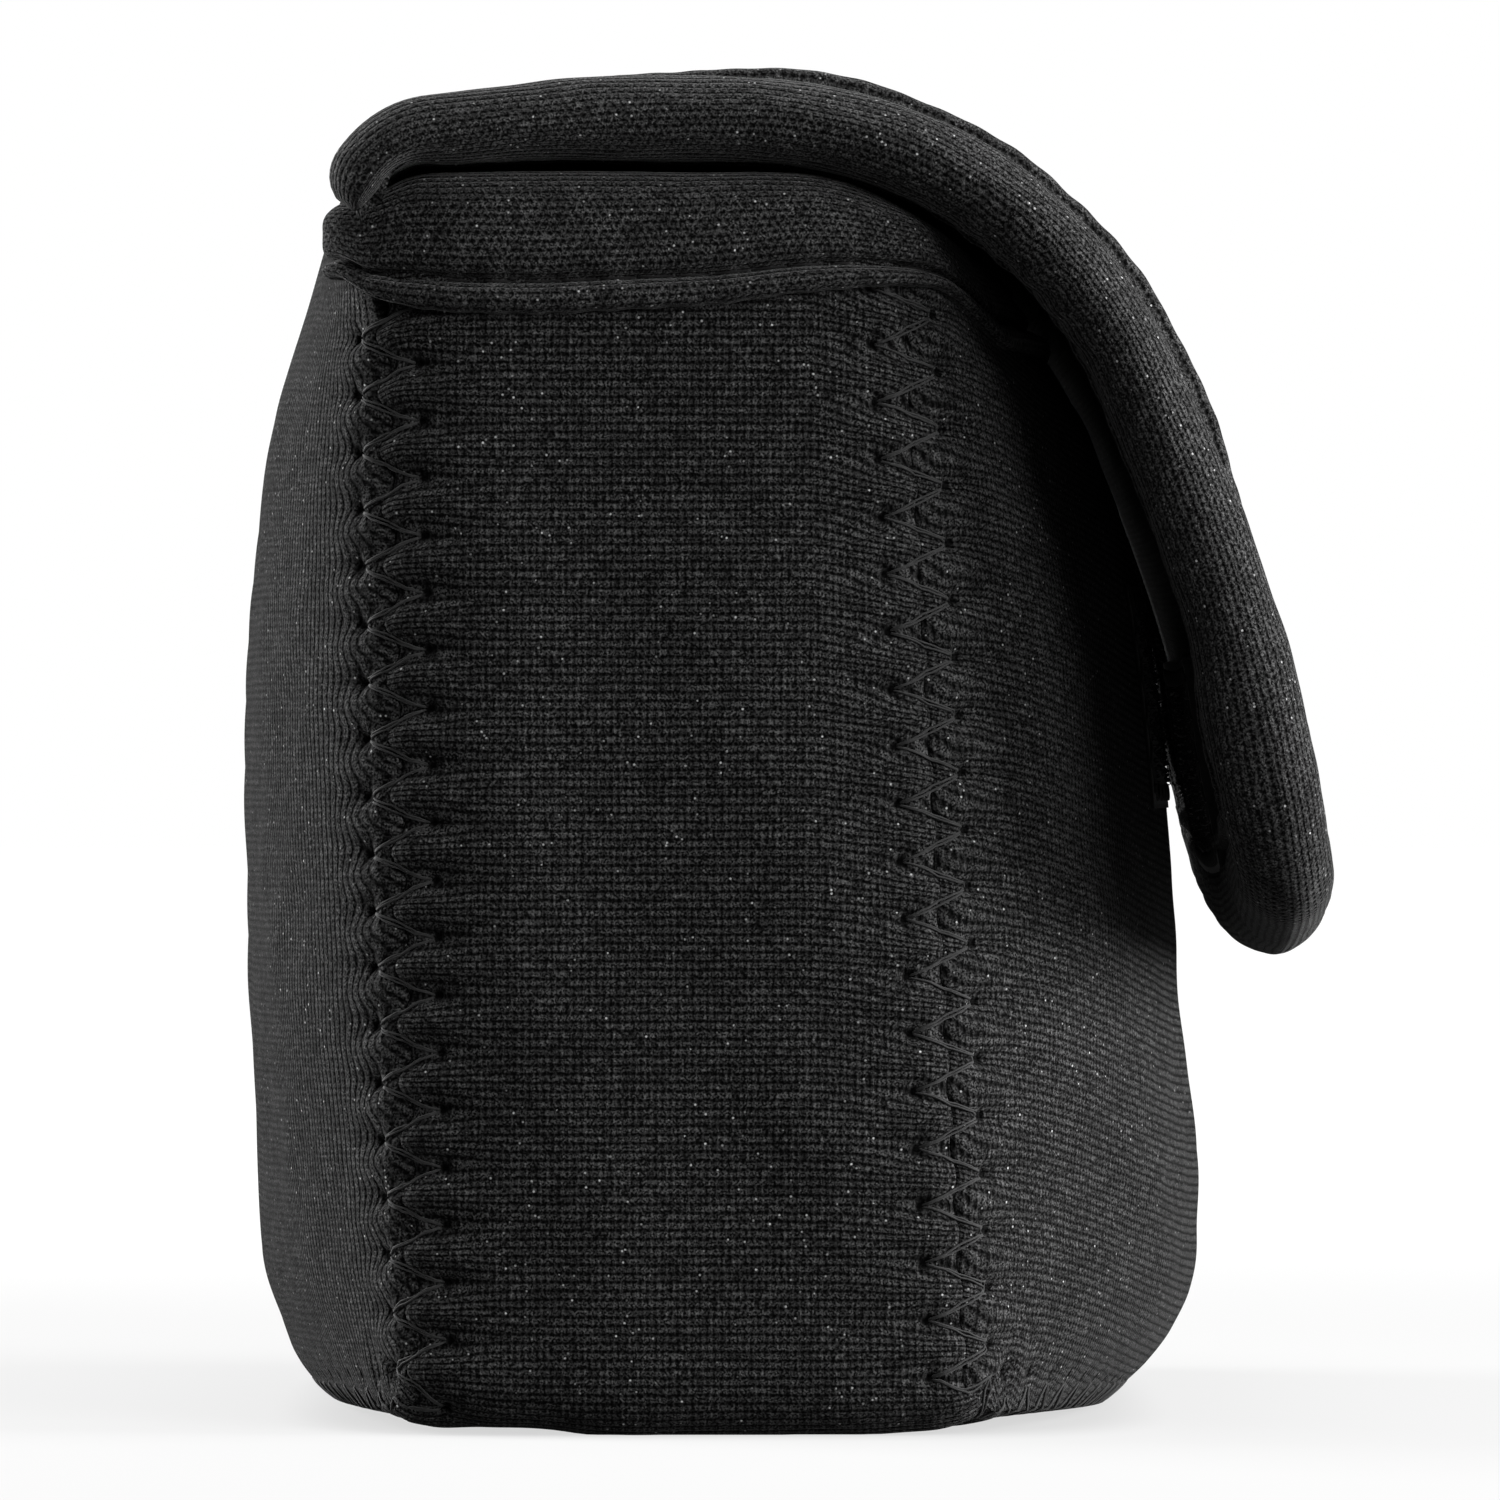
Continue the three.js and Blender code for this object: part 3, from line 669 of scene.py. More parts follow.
class NodeWork:
    """A node tree under way."""

    tree: bpy.types.NodeTree

    def node(
        self, kind: str, settings: dict | None = None, first: Sequence = (), **values: object
    ) -> bpy.types.Node:
        """Adds a node.

        Args:
            kind: the node's type.
            settings: its own settings, set before its sockets.
            first: values or links of its first inputs, in their order.
            values: values or links of other inputs, under their names with _ for a space.

        Returns:
            The node.
        """
        node = self.tree.nodes.new(kind)
        for key, value in (settings or {}).items():
            setattr(node, key, value)
        for slot, value in zip(node.inputs, first):
            plug(self.tree, slot, value)
        for key, value in values.items():
            plug(self.tree, node.inputs[key.replace("_", " ")], value)
        return node

    def value(self, node: bpy.types.Node, output: str) -> Socket:
        """One output of a node, to reckon with."""
        return Socket(self.tree, node.outputs[output])

    def colour(self, low: float, high: float, share: Socket, clamp: bool = True) -> bpy.types.NodeSocket:
        """Grey between two others, or past the second one where the share isn't clamped."""
        node = self.node("ShaderNodeMix", {"data_type": "RGBA", "clamp_factor": clamp}, Factor=share)
        for slot, tone in ((6, low), (7, high)):
            node.inputs[slot].default_value = (tone, tone, tone, 1.0)
        return node.outputs[2]


class Finish(NodeWork):
    """A procedural material, made node by node."""

    def __init__(self, name: str) -> None:
        """Makes an empty material with its output."""
        self.material = bpy.data.materials.new(name)
        self.material.use_nodes = True
        self.tree = self.material.node_tree
        self.tree.nodes.clear()
        self.output = self.tree.nodes.new("ShaderNodeOutputMaterial")

    def map(self, name: str) -> tuple[Socket, Socket]:
        """The two values of one of the piece's maps, in millimetres."""
        uv = self.node("ShaderNodeUVMap", {"uv_map": name})
        split = self.node("ShaderNodeSeparateXYZ", Vector=uv.outputs["UV"])
        return self.value(split, "X"), self.value(split, "Y")

    def place(self) -> bpy.types.NodeSocket:
        """The point of the surface in the object's own coordinates."""
        return self.node("ShaderNodeTexCoord").outputs["Object"]

    def noise(self, scale: float, detail: float = 2.0) -> Socket:
        """Even noise of the given number of lumps in a metre."""
        node = self.node("ShaderNodeTexNoise", Vector=self.place(), Scale=scale, Detail=detail)
        return self.value(node, "Fac")

    def bump(self, height: Socket, depth: float) -> bpy.types.NodeSocket:
        """Normal of a relief of the given depth in metres."""
        return self.node("ShaderNodeBump", Height=height, Distance=depth, Strength=1.0).outputs["Normal"]

    def shader(self, **values: object) -> bpy.types.Material:
        """Ends the tree in one Principled shader."""
        node = self.node("ShaderNodeBsdfPrincipled", **values)
        self.tree.links.new(node.outputs["BSDF"], self.output.inputs["Surface"])
        return self.material


@dataclass(frozen=True)
class Knit:
    """Knitted face of the neoprene or of the tape: ribs along the first map value.

    Rib and stitch are millimetres, the relief is metres, and a scale is a number of lumps in a metre.
    """

    name: str
    rib: float
    stitch: float
    groove: float
    between: float
    relief: float
    sheen: float
    glint_share: float
    shift: float
    seams: tuple[tuple[float, float], ...] = ()

    dark = 0.0006
    light = 0.0208
    glint_brightness = 12.0
    wander_scale = 300.0
    waver_scale = 1500.0
    fibre_scale = 6500.0
    patch_scale = 60.0
    glint_scale = 3600.0
    hole_radius = 0.5
    hole_shade = 0.92
    hole_depth = 1.5
    tint = (0.5, 0.5, 0.5, 1.0)

    def make(self) -> bpy.types.Material:
        """Builds the material."""
        finish = Finish(self.name)
        along, across = finish.map("knit")
        wander = finish.noise(self.wander_scale) - 0.5
        fine = finish.noise(self.waver_scale, 1.0) - 0.5
        row = across / self.rib + wander * 0.3 + fine * 0.25
        column = along / self.stitch + wander * 0.4 + fine * 0.35
        gap = row.wave() ** 2.0
        knot = (column + row.math("ROUND") * self.shift).wave() ** 1.5
        hole = gap * (knot * (1 - self.groove) + self.groove)
        height = 1 - hole.math("MAXIMUM", knot * self.between)
        cell = finish.node("ShaderNodeCombineXYZ", X=(column + 0.5).math("FLOOR"), Y=row.math("FLOOR"))
        chance = finish.node("ShaderNodeTexWhiteNoise", Vector=cell.outputs[0])
        glint = finish.value(chance, "Value")
        fibre = finish.noise(self.fibre_scale)
        patch = finish.noise(self.patch_scale)
        grain = (fibre - 0.5) * 9.0 + 0.95
        # Painted shade: the tone follows the knit's height and is darker in the grooves between rows and
        # stitches. Each stitch's random glint is a painted highlight.
        tone = (height ** 1.7) * (glint * 0.8 + 0.6) * grain.math("MAXIMUM", 0.05) * (patch * 0.3 + 0.85)
        # Painted glints: tiny bright spots on a few fibres, which also lower the roughness there.
        spots = finish.node("ShaderNodeTexVoronoi", Vector=finish.place(), Scale=self.glint_scale)
        seed = finish.node("ShaderNodeSeparateColor", Color=spots.outputs["Color"])
        glint_spot = finish.value(spots, "Distance").step(0.42, 0.14)
        chosen = finish.value(seed, "Red").step(1 - self.glint_share, 1 - self.glint_share * 0.3)
        pit = self.needle_holes(finish)
        # Painted shade in the needle holes' pits.
        shown = (tone + glint_spot * chosen * self.glint_brightness) * (1 - pit * self.hole_shade)
        colour = finish.colour(self.dark, self.light, shown.math("MINIMUM", self.glint_brightness), clamp=False)
        rough = 0.92 - glint_spot * chosen * 0.3
        relief = height + (fibre - 0.5) * 0.5 - pit * self.hole_depth
        return finish.shader(
            Base_Color=colour,
            Roughness=rough,
            Specular_IOR_Level=self.sheen * 0.3,
            Sheen_Weight=self.sheen,
            Sheen_Roughness=0.3,
            Sheen_Tint=self.tint,
            Normal=finish.bump(relief, self.relief),
        )

    def needle_holes(self, finish: Finish) -> Socket:
        """Needle holes in the two rows beside each zigzag seam, from the seam map; their darkness is
        painted shade.

        Args:
            finish: the material under way.

        Returns:
            1 in a hole and 0 elsewhere.
        """
        phase, across = finish.map("seam")
        total = Socket(finish.tree, 0.0)
        for sign, shift in ((1, 0.0), (-1, 0.5)):
            for pitch, half in self.seams:
                local = phase - shift
                near = (local - local.math("ROUND")) * pitch
                beyond = across - sign * half
                distance = (near * near + beyond * beyond).math("SQRT")
                total = distance.step(self.hole_radius, 0.12).math("MAXIMUM", total)
        return total


@dataclass(frozen=True)
class Plain:
    """Finish of thread, hooks or pile: one tone with fine variation."""

    name: str
    dark: float
    light: float
    roughness: float
    sheen: float
    grain: float

    def make(self) -> bpy.types.Material:
        """Builds the material."""
        finish = Finish(self.name)
        grain = finish.noise(self.grain, 3.0)
        colour = finish.colour(self.dark, self.light, grain)
        return finish.shader(
            Base_Color=colour,
            Roughness=grain * 0.2 + (self.roughness - 0.1),
            Specular_IOR_Level=0.1,
            Sheen_Weight=self.sheen,
            Normal=finish.bump(grain, 0.00004),
        )


class GeometryTree(NodeWork):
    """A Geometry Nodes tree with named inputs and one geometry as its result."""

    name: str
    inputs: tuple[tuple[str, str, float | None], ...]

    def __init__(self) -> None:
        """Builds the tree once."""
        self.tree = bpy.data.node_groups.new(self.name, "GeometryNodeTree")
        face = self.tree.interface
        for name, kind, value in self.inputs:
            socket = face.new_socket(name, in_out="INPUT", socket_type="NodeSocket" + kind)
            if value is not None:
                socket.default_value = value
        face.new_socket("Geometry", in_out="OUTPUT", socket_type="NodeSocketGeometry")
        self.start = self.tree.nodes.new("NodeGroupInput")
        self.wire()

    def wire(self) -> None:
        """Lays out the tree's nodes."""
        raise NotImplementedError

    def given(self, name: str) -> Socket:
        """One of the tree's inputs."""
        return Socket(self.tree, self.start.outputs[name])

    def scaled(self, vector: bpy.types.NodeSocket, amount: Socket) -> bpy.types.NodeSocket:
        """A vector times a number."""
        return self.node("ShaderNodeVectorMath", {"operation": "SCALE"}, (vector,), Scale=amount).outputs[0]

    def ring(self, points: int, radius: Socket) -> bpy.types.NodeSocket:
        """A small circle, to sweep along a line."""
        return self.node("GeometryNodeCurvePrimitiveCircle", Resolution=points, Radius=radius).outputs[0]

    def swept(self, line: bpy.types.NodeSocket, ring: bpy.types.NodeSocket) -> bpy.types.NodeSocket:
        """A ring swept along a line, closed at its ends."""
        tube = self.node("GeometryNodeCurveToMesh", Curve=line, Profile_Curve=ring, Fill_Caps=True)
        return tube.outputs[0]

    def end(self, made: bpy.types.NodeSocket, material: str) -> None:
        """Ends the tree with plain geometry in the material of one of its inputs."""
        whole = self.node("GeometryNodeRealizeInstances", Geometry=made)
        dressed = self.node(
            "GeometryNodeSetMaterial", Geometry=whole.outputs[0], Material=self.given(material)
        )
        self.node("NodeGroupOutput", None, (dressed.outputs[0],))

    def run(self, name: str, mesh: bpy.types.Mesh, sizes: dict[str, object]) -> bpy.types.Object:
        """Runs the tree on a mesh and keeps the result as a plain mesh.

        Args:
            name: the new piece's name.
            mesh: what the tree starts from.
            sizes: the tree's inputs, under their names with _ for a space.

        Returns:
            The piece.
        """
        guide = placed(mesh.name, mesh)
        modifier = guide.modifiers.new("tree", "NODES")
        modifier.node_group = self.tree
        for item in self.tree.interface.items_tree:
            key = item.name.replace(" ", "_")
            if item.item_type == "SOCKET" and item.in_out == "INPUT" and key in sizes:
                modifier[item.identifier] = sizes[key]
        bpy.context.view_layer.update()
        graph = bpy.context.evaluated_depsgraph_get()
        made = bpy.data.meshes.new_from_object(guide.evaluated_get(graph))
        made.name = name
        guide.modifiers.remove(modifier)
        bpy.data.objects.remove(guide)
        return placed(name, made)


class StitchTree(GeometryTree):
    """Sews a thread along a path and lays it on the cloth."""

    name = "thread_stitches"
    inputs = (
        ("Path", "Geometry", None),
        ("Cloth", "Object", None),
        ("Other Cloth", "Object", None),
        ("Pitch", "Float", 0.004),
        ("Width", "Float", 0.0045),
        ("Thread Radius", "Float", 0.00012),
        ("Strands", "Int", 2),
        ("Spread", "Float", 0.00018),
        ("Lift", "Float", 0.0001),
        ("Sink", "Float", 0.0004),
        ("Phase", "Float", 0.0),
        ("Seed", "Int", 7),
        ("Thread", "Material", None),
    )
    points_per_stitch = 24
    ring_points = 6

    def summed(self, *vectors: bpy.types.NodeSocket) -> bpy.types.NodeSocket:
        """Sum of two vectors."""
        return self.node("ShaderNodeVectorMath", {"operation": "ADD"}, vectors).outputs[0]

    def carried(self, name: str, kind: str) -> bpy.types.NodeSocket:
        """A value that the path carries."""
        return self.node("GeometryNodeInputNamedAttribute", {"data_type": kind}, Name=name).outputs[0]

    def wire(self) -> None:
        """Lays out the tree: resample, strands, zigzag, lay on the cloth, give it thickness."""
        curve = self.node("GeometryNodeMeshToCurve", Mesh=self.given("Path"))
        even = self.node(
            "GeometryNodeResampleCurve", {"mode": "LENGTH"},
            Curve=curve.outputs[0], Length=self.given("Pitch") / self.points_per_stitch,
        )
        place = self.node("GeometryNodeSplineParameter")
        kept = self.node(
            "GeometryNodeStoreNamedAttribute", {"data_type": "FLOAT"},
            Geometry=even.outputs[0], Name="walked", Value=place.outputs["Length"],
        )
        strands = self.node(
            "GeometryNodeDuplicateElements", {"domain": "SPLINE"},
            Geometry=kept.outputs[0], Amount=self.given("Strands"),
        )
        walked = Socket(self.tree, self.carried("walked", "FLOAT"))
        phase = walked / self.given("Pitch") + self.given("Phase")
        turn = phase - phase.math("FLOOR")
        wave = (turn - 0.5).math("ABSOLUTE") * 4 - 1
        half = turn * 2 - (turn * 2).math("FLOOR")
        arch = (half * (1 - half) * 4).math("MAXIMUM", 0.0)
        middle = (self.given("Strands") - 1) / 2
        lane = self.value(strands, "Duplicate Index") - middle
        stitch = (phase * 2).math("FLOOR")
        chance = self.node(
            "FunctionNodeRandomValue", {"data_type": "FLOAT"},
            Seed=self.given("Seed"), ID=stitch * 7 + lane * 3 + 50,
        )
        vary = self.value(chance, "Value") * 0.9 + 0.4
        fan = lane * self.given("Spread") * arch * vary
        across = self.carried("across", "FLOAT_VECTOR")
        other = self.carried("other", "FLOAT_VECTOR")
        tangent = self.node("GeometryNodeInputTangent")
        swing = wave * self.given("Width") * 0.5
        aside = self.summed(
            self.scaled(across, swing.math("MAXIMUM", 0.0)),
            self.scaled(other, (swing * -1).math("MAXIMUM", 0.0)),
        )
        spread = self.scaled(tangent.outputs[0], fan)
        offset = self.summed(self.summed(aside, spread), self.scaled(across, fan * 0.4))
        moved = self.node("GeometryNodeSetPosition", Geometry=strands.outputs[0], Offset=offset)
        cloth = self.tree.nodes.new("GeometryNodeJoinGeometry")
        for name in ("Other Cloth", "Cloth"):
            part = self.node(
                "GeometryNodeObjectInfo", {"transform_space": "RELATIVE"}, Object=self.given(name)
            )
            self.tree.links.new(part.outputs["Geometry"], cloth.inputs[0])
        near = self.node("GeometryNodeProximity", {"target_element": "FACES"}, (cloth.outputs[0],))
        normal = self.node("GeometryNodeInputNormal")
        sample = self.node(
            "GeometryNodeSampleNearestSurface", {"data_type": "FLOAT_VECTOR"},
            Mesh=cloth.outputs[0], Value=normal.outputs[0],
        )
        rise = self.given("Lift") * arch.math("POWER", 0.35) - self.given("Sink") * (1 - arch) ** 18
        over = self.summed(near.outputs["Position"], self.scaled(sample.outputs[0], rise))
        laid = self.node("GeometryNodeSetPosition", Geometry=moved.outputs[0], Position=over)
        thread = self.swept(laid.outputs[0], self.ring(self.ring_points, self.given("Thread Radius")))
        smooth = self.node("GeometryNodeSetShadeSmooth", Geometry=thread)
        self.end(smooth.outputs[0], "Thread")

    def sew(
        self,
        name: str,
        path: Array,
        across: tuple[Array, Array],
        cloth: bpy.types.Object,
        other: bpy.types.Object,
        **sizes: object,
    ) -> bpy.types.Object:
        """Sews one thread.

        Args:
            name: the piece's name.
            path: points of the line, in millimetres.
            across: unit vectors that the zigzag swings along, to one side and to the other.
            cloth: the mesh that the thread lies on.
            other: the mesh on the other side of the line, or the same one.
            sizes: the tree's other inputs, under their names with _ for a space.

        Returns:
            A plain mesh object.
        """
        mesh = bpy.data.meshes.new(name + "_path")
        edges = [(k, k + 1) for k in range(len(path) - 1)]
        mesh.from_pydata((path * MM).tolist(), edges, [])
        for key, vectors in (("across", across[0]), ("other", across[1])):
            attribute = mesh.attributes.new(key, "FLOAT_VECTOR", "POINT")
            attribute.data.foreach_set("vector", vectors.astype(np.float32).ravel())
        return self.run(name, mesh, {"Cloth": cloth, "Other_Cloth": other, **sizes})


def graded(length: float, fine: float, coarse: float, band: float) -> Array:
    """Stations from 0 to a length, closer together within a band of each end."""
    x = np.linspace(0, length, 4001)
    near = np.minimum(x, length - x)
    step = mix(fine, coarse, ease(near, band, band * 2))
    count = np.concatenate([[0], np.cumsum((1 / step)[:-1] * np.diff(x))])
    return np.interp(np.linspace(0, count[-1], math.ceil(count[-1]) + 1), count, x)


def evened(line: Callable[[Array], Array], low: float, high: float, fine: float, coarse: float) -> Array:
    """Values between two others at which a line's points lie a graded distance apart."""
    dense = np.linspace(low, high, 1501)
    walked = lengths_along(line(dense))
    return np.interp(graded(walked[-1], fine, coarse, 6.0), walked, dense)


def smoothed(points: Array, reach: int, axis: int = 1) -> Array:
    """Points of a grid averaged with their neighbours along one axis; the ends stay."""
    kernel = np.hanning(2 * reach + 3)[1:-1]
    kernel /= kernel.sum()
    padding = [(0, 0)] * points.ndim
    padding[axis] = (reach, reach)
    padded = np.pad(points, padding, mode="reflect", reflect_type="odd")
    return np.apply_along_axis(np.convolve, axis, padded, kernel, mode="valid")


def waves(points: Array, length: float, seed: int) -> Array:
    """Gentle random undulation between -1 and 1 with a given wavelength in millimetres."""
    random = np.random.default_rng(seed)
    total = np.zeros(points.shape[:-1])
    for _ in range(9):
        direction = random.normal(size=3)
        direction /= np.linalg.norm(direction)
        pace = 2 * math.pi / (length * random.uniform(0.6, 1.7))
        total += np.sin(points @ direction * pace + random.uniform(0, 7))
    return total / 3.2


class Sewing:
    """The zigzag seams: finds the nearest stitch to a point and lays the seams' relief in a skin."""

    centre = np.array([0.0, 0.0, 45.0])
    on_base = 0.15
    sway_reach = 1.8
    broad = (26.0, 0.28)
    narrow = (9.0, 0.1)
    patch_height = 50.0

    def __init__(self, form: CaseForm, seams: Sequence[ZigzagSeam]) -> None:
        """Prepares the seams' lines for searching."""
        self.form = form
        self.seams = {seam.side: seam for seam in seams}
        self.paths = {seam.side: seam.path(form) for seam in seams}
        self.walked = {side: lengths_along(path) for side, path in self.paths.items()}
        self.trees = {}
        for side, path in self.paths.items():
            tree = kdtree.KDTree(len(path))
            for index, point in enumerate(path.tolist()):
                tree.insert(point, index)
            tree.balance()
            self.trees[side] = tree

    def nearest(self, side: Side, points: Array) -> tuple[Array, Array]:
        """Distance along a seam and distance from it, for each point."""
        flat = points.reshape(-1, 3)
        found = [self.trees[side].find(point) for point in flat.tolist()]
        index = np.array([item[1] for item in found])
        distance = np.array([item[2] for item in found])
        return self.walked[side][index].reshape(points.shape[:-1]), distance.reshape(points.shape[:-1])

    def dress(
        self, skin: Array, sides: Sequence[Side], on_panel: bool, seed: int, still: float = 0.0
    ) -> tuple[Array, Array, Array]:
        """Lays the relief of the seams and of soft use in an outer skin.

        Args:
            skin: grid of points.
            sides: the seams that border it.
            on_panel: whether the skin is a panel's and not the strip's.
            seed: seed of the soft undulation.
            still: half width of a field round the loop patch that stays even.

        Returns:
            The raised points, their seam map and how far their knit is drawn.
        """
        sign = 1.0 if on_panel else -1.0
        phase = np.zeros(skin.shape[:-1])
        across = np.full(skin.shape[:-1], 1e3)
        relief, drawn, sway = np.zeros_like(phase), np.zeros_like(phase), np.zeros_like(phase)
        for side in sides:
            along, distance = self.nearest(side, skin)
            seam, path = self.seams[side], self.paths[side]
            closer = distance < across
            across = np.where(closer, distance, across)
            phase = np.where(closer, seam.phase(along, path), phase)
            relief = np.where(closer, seam.relief(along, sign * distance, path), relief)
            sway = np.where(closer, seam.sway * side.value, sway)
            drawn = np.where(closer, seam.drawn(along, sign * distance, path), drawn)
        upright = mix(self.on_base, 1.0, ease(np.abs(skin[..., 0]), 48.0, 56.0))
        relief, drawn = relief * upright, drawn * upright
        beside = np.exp(-((across / self.sway_reach) ** 2))
        swayed = sway * beside * upright * np.cos(2 * math.pi * phase)
        normals = grid_normals(skin)
        outward = np.sign(np.einsum("ijk,ijk->ij", normals, skin - self.centre).sum())
        calm = ease(across, 2.0, 12.0) * ease(skin[..., 2], 80.0, 70.0)
        if still:
            away = ease(np.abs(skin[..., 0]), still, still + 10)
            apart = ease(np.abs(skin[..., 2] - self.patch_height), 10.0, 18.0)
            calm = calm * np.maximum(away, apart)
        (broad, swell), (narrow, ripple) = self.broad, self.narrow
        relief = relief + calm * (swell * waves(skin, broad, seed) + ripple * waves(skin, narrow, seed + 1))
        raised = skin + normals * (outward * relief)[..., None]
        raised[..., 1] += swayed
        raised[..., 2] = np.maximum(raised[..., 2], 0.0)
        return raised, np.stack([phase, sign * across], axis=-1), drawn


def thick_cloth(
    draft: MeshDraft, outer: Array, inner: Array, knit: Array, seam: Array | None = None
) -> None:
    """Adds a closed thick cloth from its two skins, which may have different counts of points."""
    outside = draft.add(outer, knit, seam)
    rows, columns = inner.shape[:2]
    pick = np.ix_(
        np.linspace(0, knit.shape[0] - 1, rows).round().astype(int),
        np.linspace(0, knit.shape[1] - 1, columns).round().astype(int),
    )
    inside = draft.add(inner, knit[pick])
    draft.grid(outside)
    draft.grid(inside, flip=True)
    draft.bridge(outside[0], inside[0])
    draft.bridge(outside[:, -1], inside[:, -1])
    draft.bridge(outside[-1, ::-1], inside[-1, ::-1])
    draft.bridge(outside[::-1, 0], inside[::-1, 0])


def thinned(values: Array, step: int) -> Array:
    """About one in so many of the values, with both ends kept."""
    count = (len(values) - 1) // step + 1
    return values[np.linspace(0, len(values) - 1, count).round().astype(int)]


def mirrored(left: Array) -> Array:
    """Rows of the left half, followed by those of the right half."""
    return np.concatenate([left, left[:-1][::-1] * np.array([-1, 1, 1])])


class Pouch:
    """The strip and the two panels."""

    fine = 0.34
    coarse = 0.62
    coarse_up = 0.55
    inner_step = 3
    overlap = 0.8
    still_half = 32.0
    knit_tilt = math.radians(3.0)
    back_share = 0.9
    fold_length = 11.0
    crown_step = 0.6

    def __init__(self, form: CaseForm, sewing: Sewing, jersey: bpy.types.Material) -> None:
        """Keeps what the pieces are made of."""
        self.form = form
        self.sewing = sewing
        self.jersey = jersey

    def strip(self) -> bpy.types.Object:
        """The strip of both sides and the base."""
        form = self.form
        t = np.concatenate([np.linspace(0, 0.5, 200), np.linspace(0.5, 1, 130)[1:]])
        share = graded(40.0, 0.3, 0.75, 5.0) / 20.0 - 1
        outer = mirrored(form.strip_skin(t, share, Layer.OUTER))
        sparse = thinned(share, self.inner_step)
        inner = mirrored(form.strip_skin(thinned(t, self.inner_step), sparse, Layer.INNER))
        inner[..., 1] += self.overlap * ease(np.abs(sparse), 0.88, 1.0) * np.sign(inner[..., 1])
        raised, seam, drawn = self.sewing.dress(outer, list(Side), on_panel=False, seed=3)
        walked = lengths_along(outer[:, len(share) // 2])
        knit = np.stack([outer[..., 1], walked[:, None] + drawn], axis=-1)
        draft = MeshDraft("side_strip")
        thick_cloth(draft, raised, inner, knit, seam)
        return draft.build(self.jersey)

    def panel_grid(self, side: Side, top: float) -> tuple[Array, Array]:
        """Height shares and shares across at which a panel is divided."""
        form = self.form

        def column(up: Array) -> Array:
            return form.panel_skin(side, up, np.array([-1.0, 0.0]), Layer.OUTER)[:, 0]

        def row(across: Array) -> Array:
            return form.panel_skin(side, np.array([0.3]), across, Layer.OUTER)[0]

        up = evened(column, 0.0, top, self.fine, self.coarse_up)
        left = evened(row, -1.0, 0.0, self.fine, self.coarse)
        return up, np.concatenate([left, -left[:-1][::-1]])

    def front(self) -> bpy.types.Object:
        """The front panel."""
        form = self.form
        up, across = self.panel_grid(Side.FRONT, 1.0)
        outer = form.panel_skin(Side.FRONT, up, across, Layer.OUTER)
        sparse = [thinned(values, self.inner_step) for values in (up, across)]
        inner = form.panel_skin(Side.FRONT, *sparse, Layer.INNER)
        raised, seam, drawn = self.sewing.dress(
            outer, [Side.FRONT], on_panel=True, seed=11, still=self.still_half
        )
        along = lengths_along(outer, 1)
        along = along - along[:, [along.shape[1] // 2]]
        rise = lengths_along(outer, 0)
        knit = np.stack([along, rise + along * math.tan(self.knit_tilt) + drawn], axis=-1)
        draft = MeshDraft("front_cloth")
        thick_cloth(draft, raised, inner, knit, seam)
        return draft.build(self.jersey)

    def back(self, split: float) -> bpy.types.Object:
        """The back panel with its fold and the crown as far as a distance along the flap."""
        form = self.form
        up, across = self.panel_grid(Side.BACK, self.back_share)
        skins = []
        for layer, thin in ((Layer.OUTER, 1), (Layer.INNER, self.inner_step)):
            rows, columns = thinned(up, thin), thinned(across, thin)
            panel = form.panel_skin(Side.BACK, rows, columns, layer)
            skins.append(self.run_on(panel, rows, columns, layer, split, self.crown_step * thin))
        raised, seam, drawn = self.sewing.dress(skins[0][: len(up)], [Side.BACK], on_panel=True, seed=23)
        outer = np.concatenate([raised, skins[0][len(up):]])
        seam = np.concatenate([seam, np.full((len(outer) - len(up), len(across), 2), FAR)])
        drawn = np.concatenate([drawn, np.zeros((len(outer) - len(up), len(across)))])
        rise = lengths_along(skins[0][:, len(across) // 2])
        side = skins[0][..., 0] + drawn
        knit = np.stack([np.broadcast_to(rise[:, None], side.shape), side], axis=-1)
        draft = MeshDraft("back_cloth")
        thick_cloth(draft, outer, skins[1], knit, seam)
        return draft.build(self.jersey)

    def run_on(
        self, panel: Array, up: Array, across: Array, layer: Layer, split: float, step: float
    ) -> Array:
        """Carries a skin of the back panel over the fold and along the crown."""
        form, flap = self.form, self.form.flap
        sign = 1 if layer is Layer.OUTER else -1
        off = sign * form.cloth / 2
        probe = 0.004
        below = form.panel_skin(Side.BACK, np.array([up[-1] - probe, up[-1]]), across, layer)
        leave = unit(below[1] - below[0])
        width = flap.width / 2 - form.tape_wall
        x = panel[-1, :, 0] * width / np.abs(panel[-1, 0, 0])
        landing = 3.0
        start, end = panel[-1], flap.point(x, np.array([landing]), np.array([off]))
        _, _, heading = flap.line(np.array([landing]))
        arrive = np.array([0.0, -math.cos(heading[0]), math.sin(heading[0])])
        reach = np.linalg.norm(end - start, axis=-1, keepdims=True) * 1.1
        rows = []
        for s in np.linspace(0, 1, math.ceil(self.fold_length / step))[1:]:
            a, b = 2 * s**3 - 3 * s**2 + 1, s**3 - 2 * s**2 + s
            c, d = -2 * s**3 + 3 * s**2, s**3 - s**2
            rows.append(a * start + b * reach * leave + c * end + d * reach * arrive)
        stops = np.linspace(landing, split, math.ceil((split - landing) / step))[1:]
        stops = np.append(stops, split + LAP)
        crown = flap.point(x[None, :], stops[:, None], np.full((len(stops), 1), off))
        return np.concatenate([panel, np.array(rows), crown])


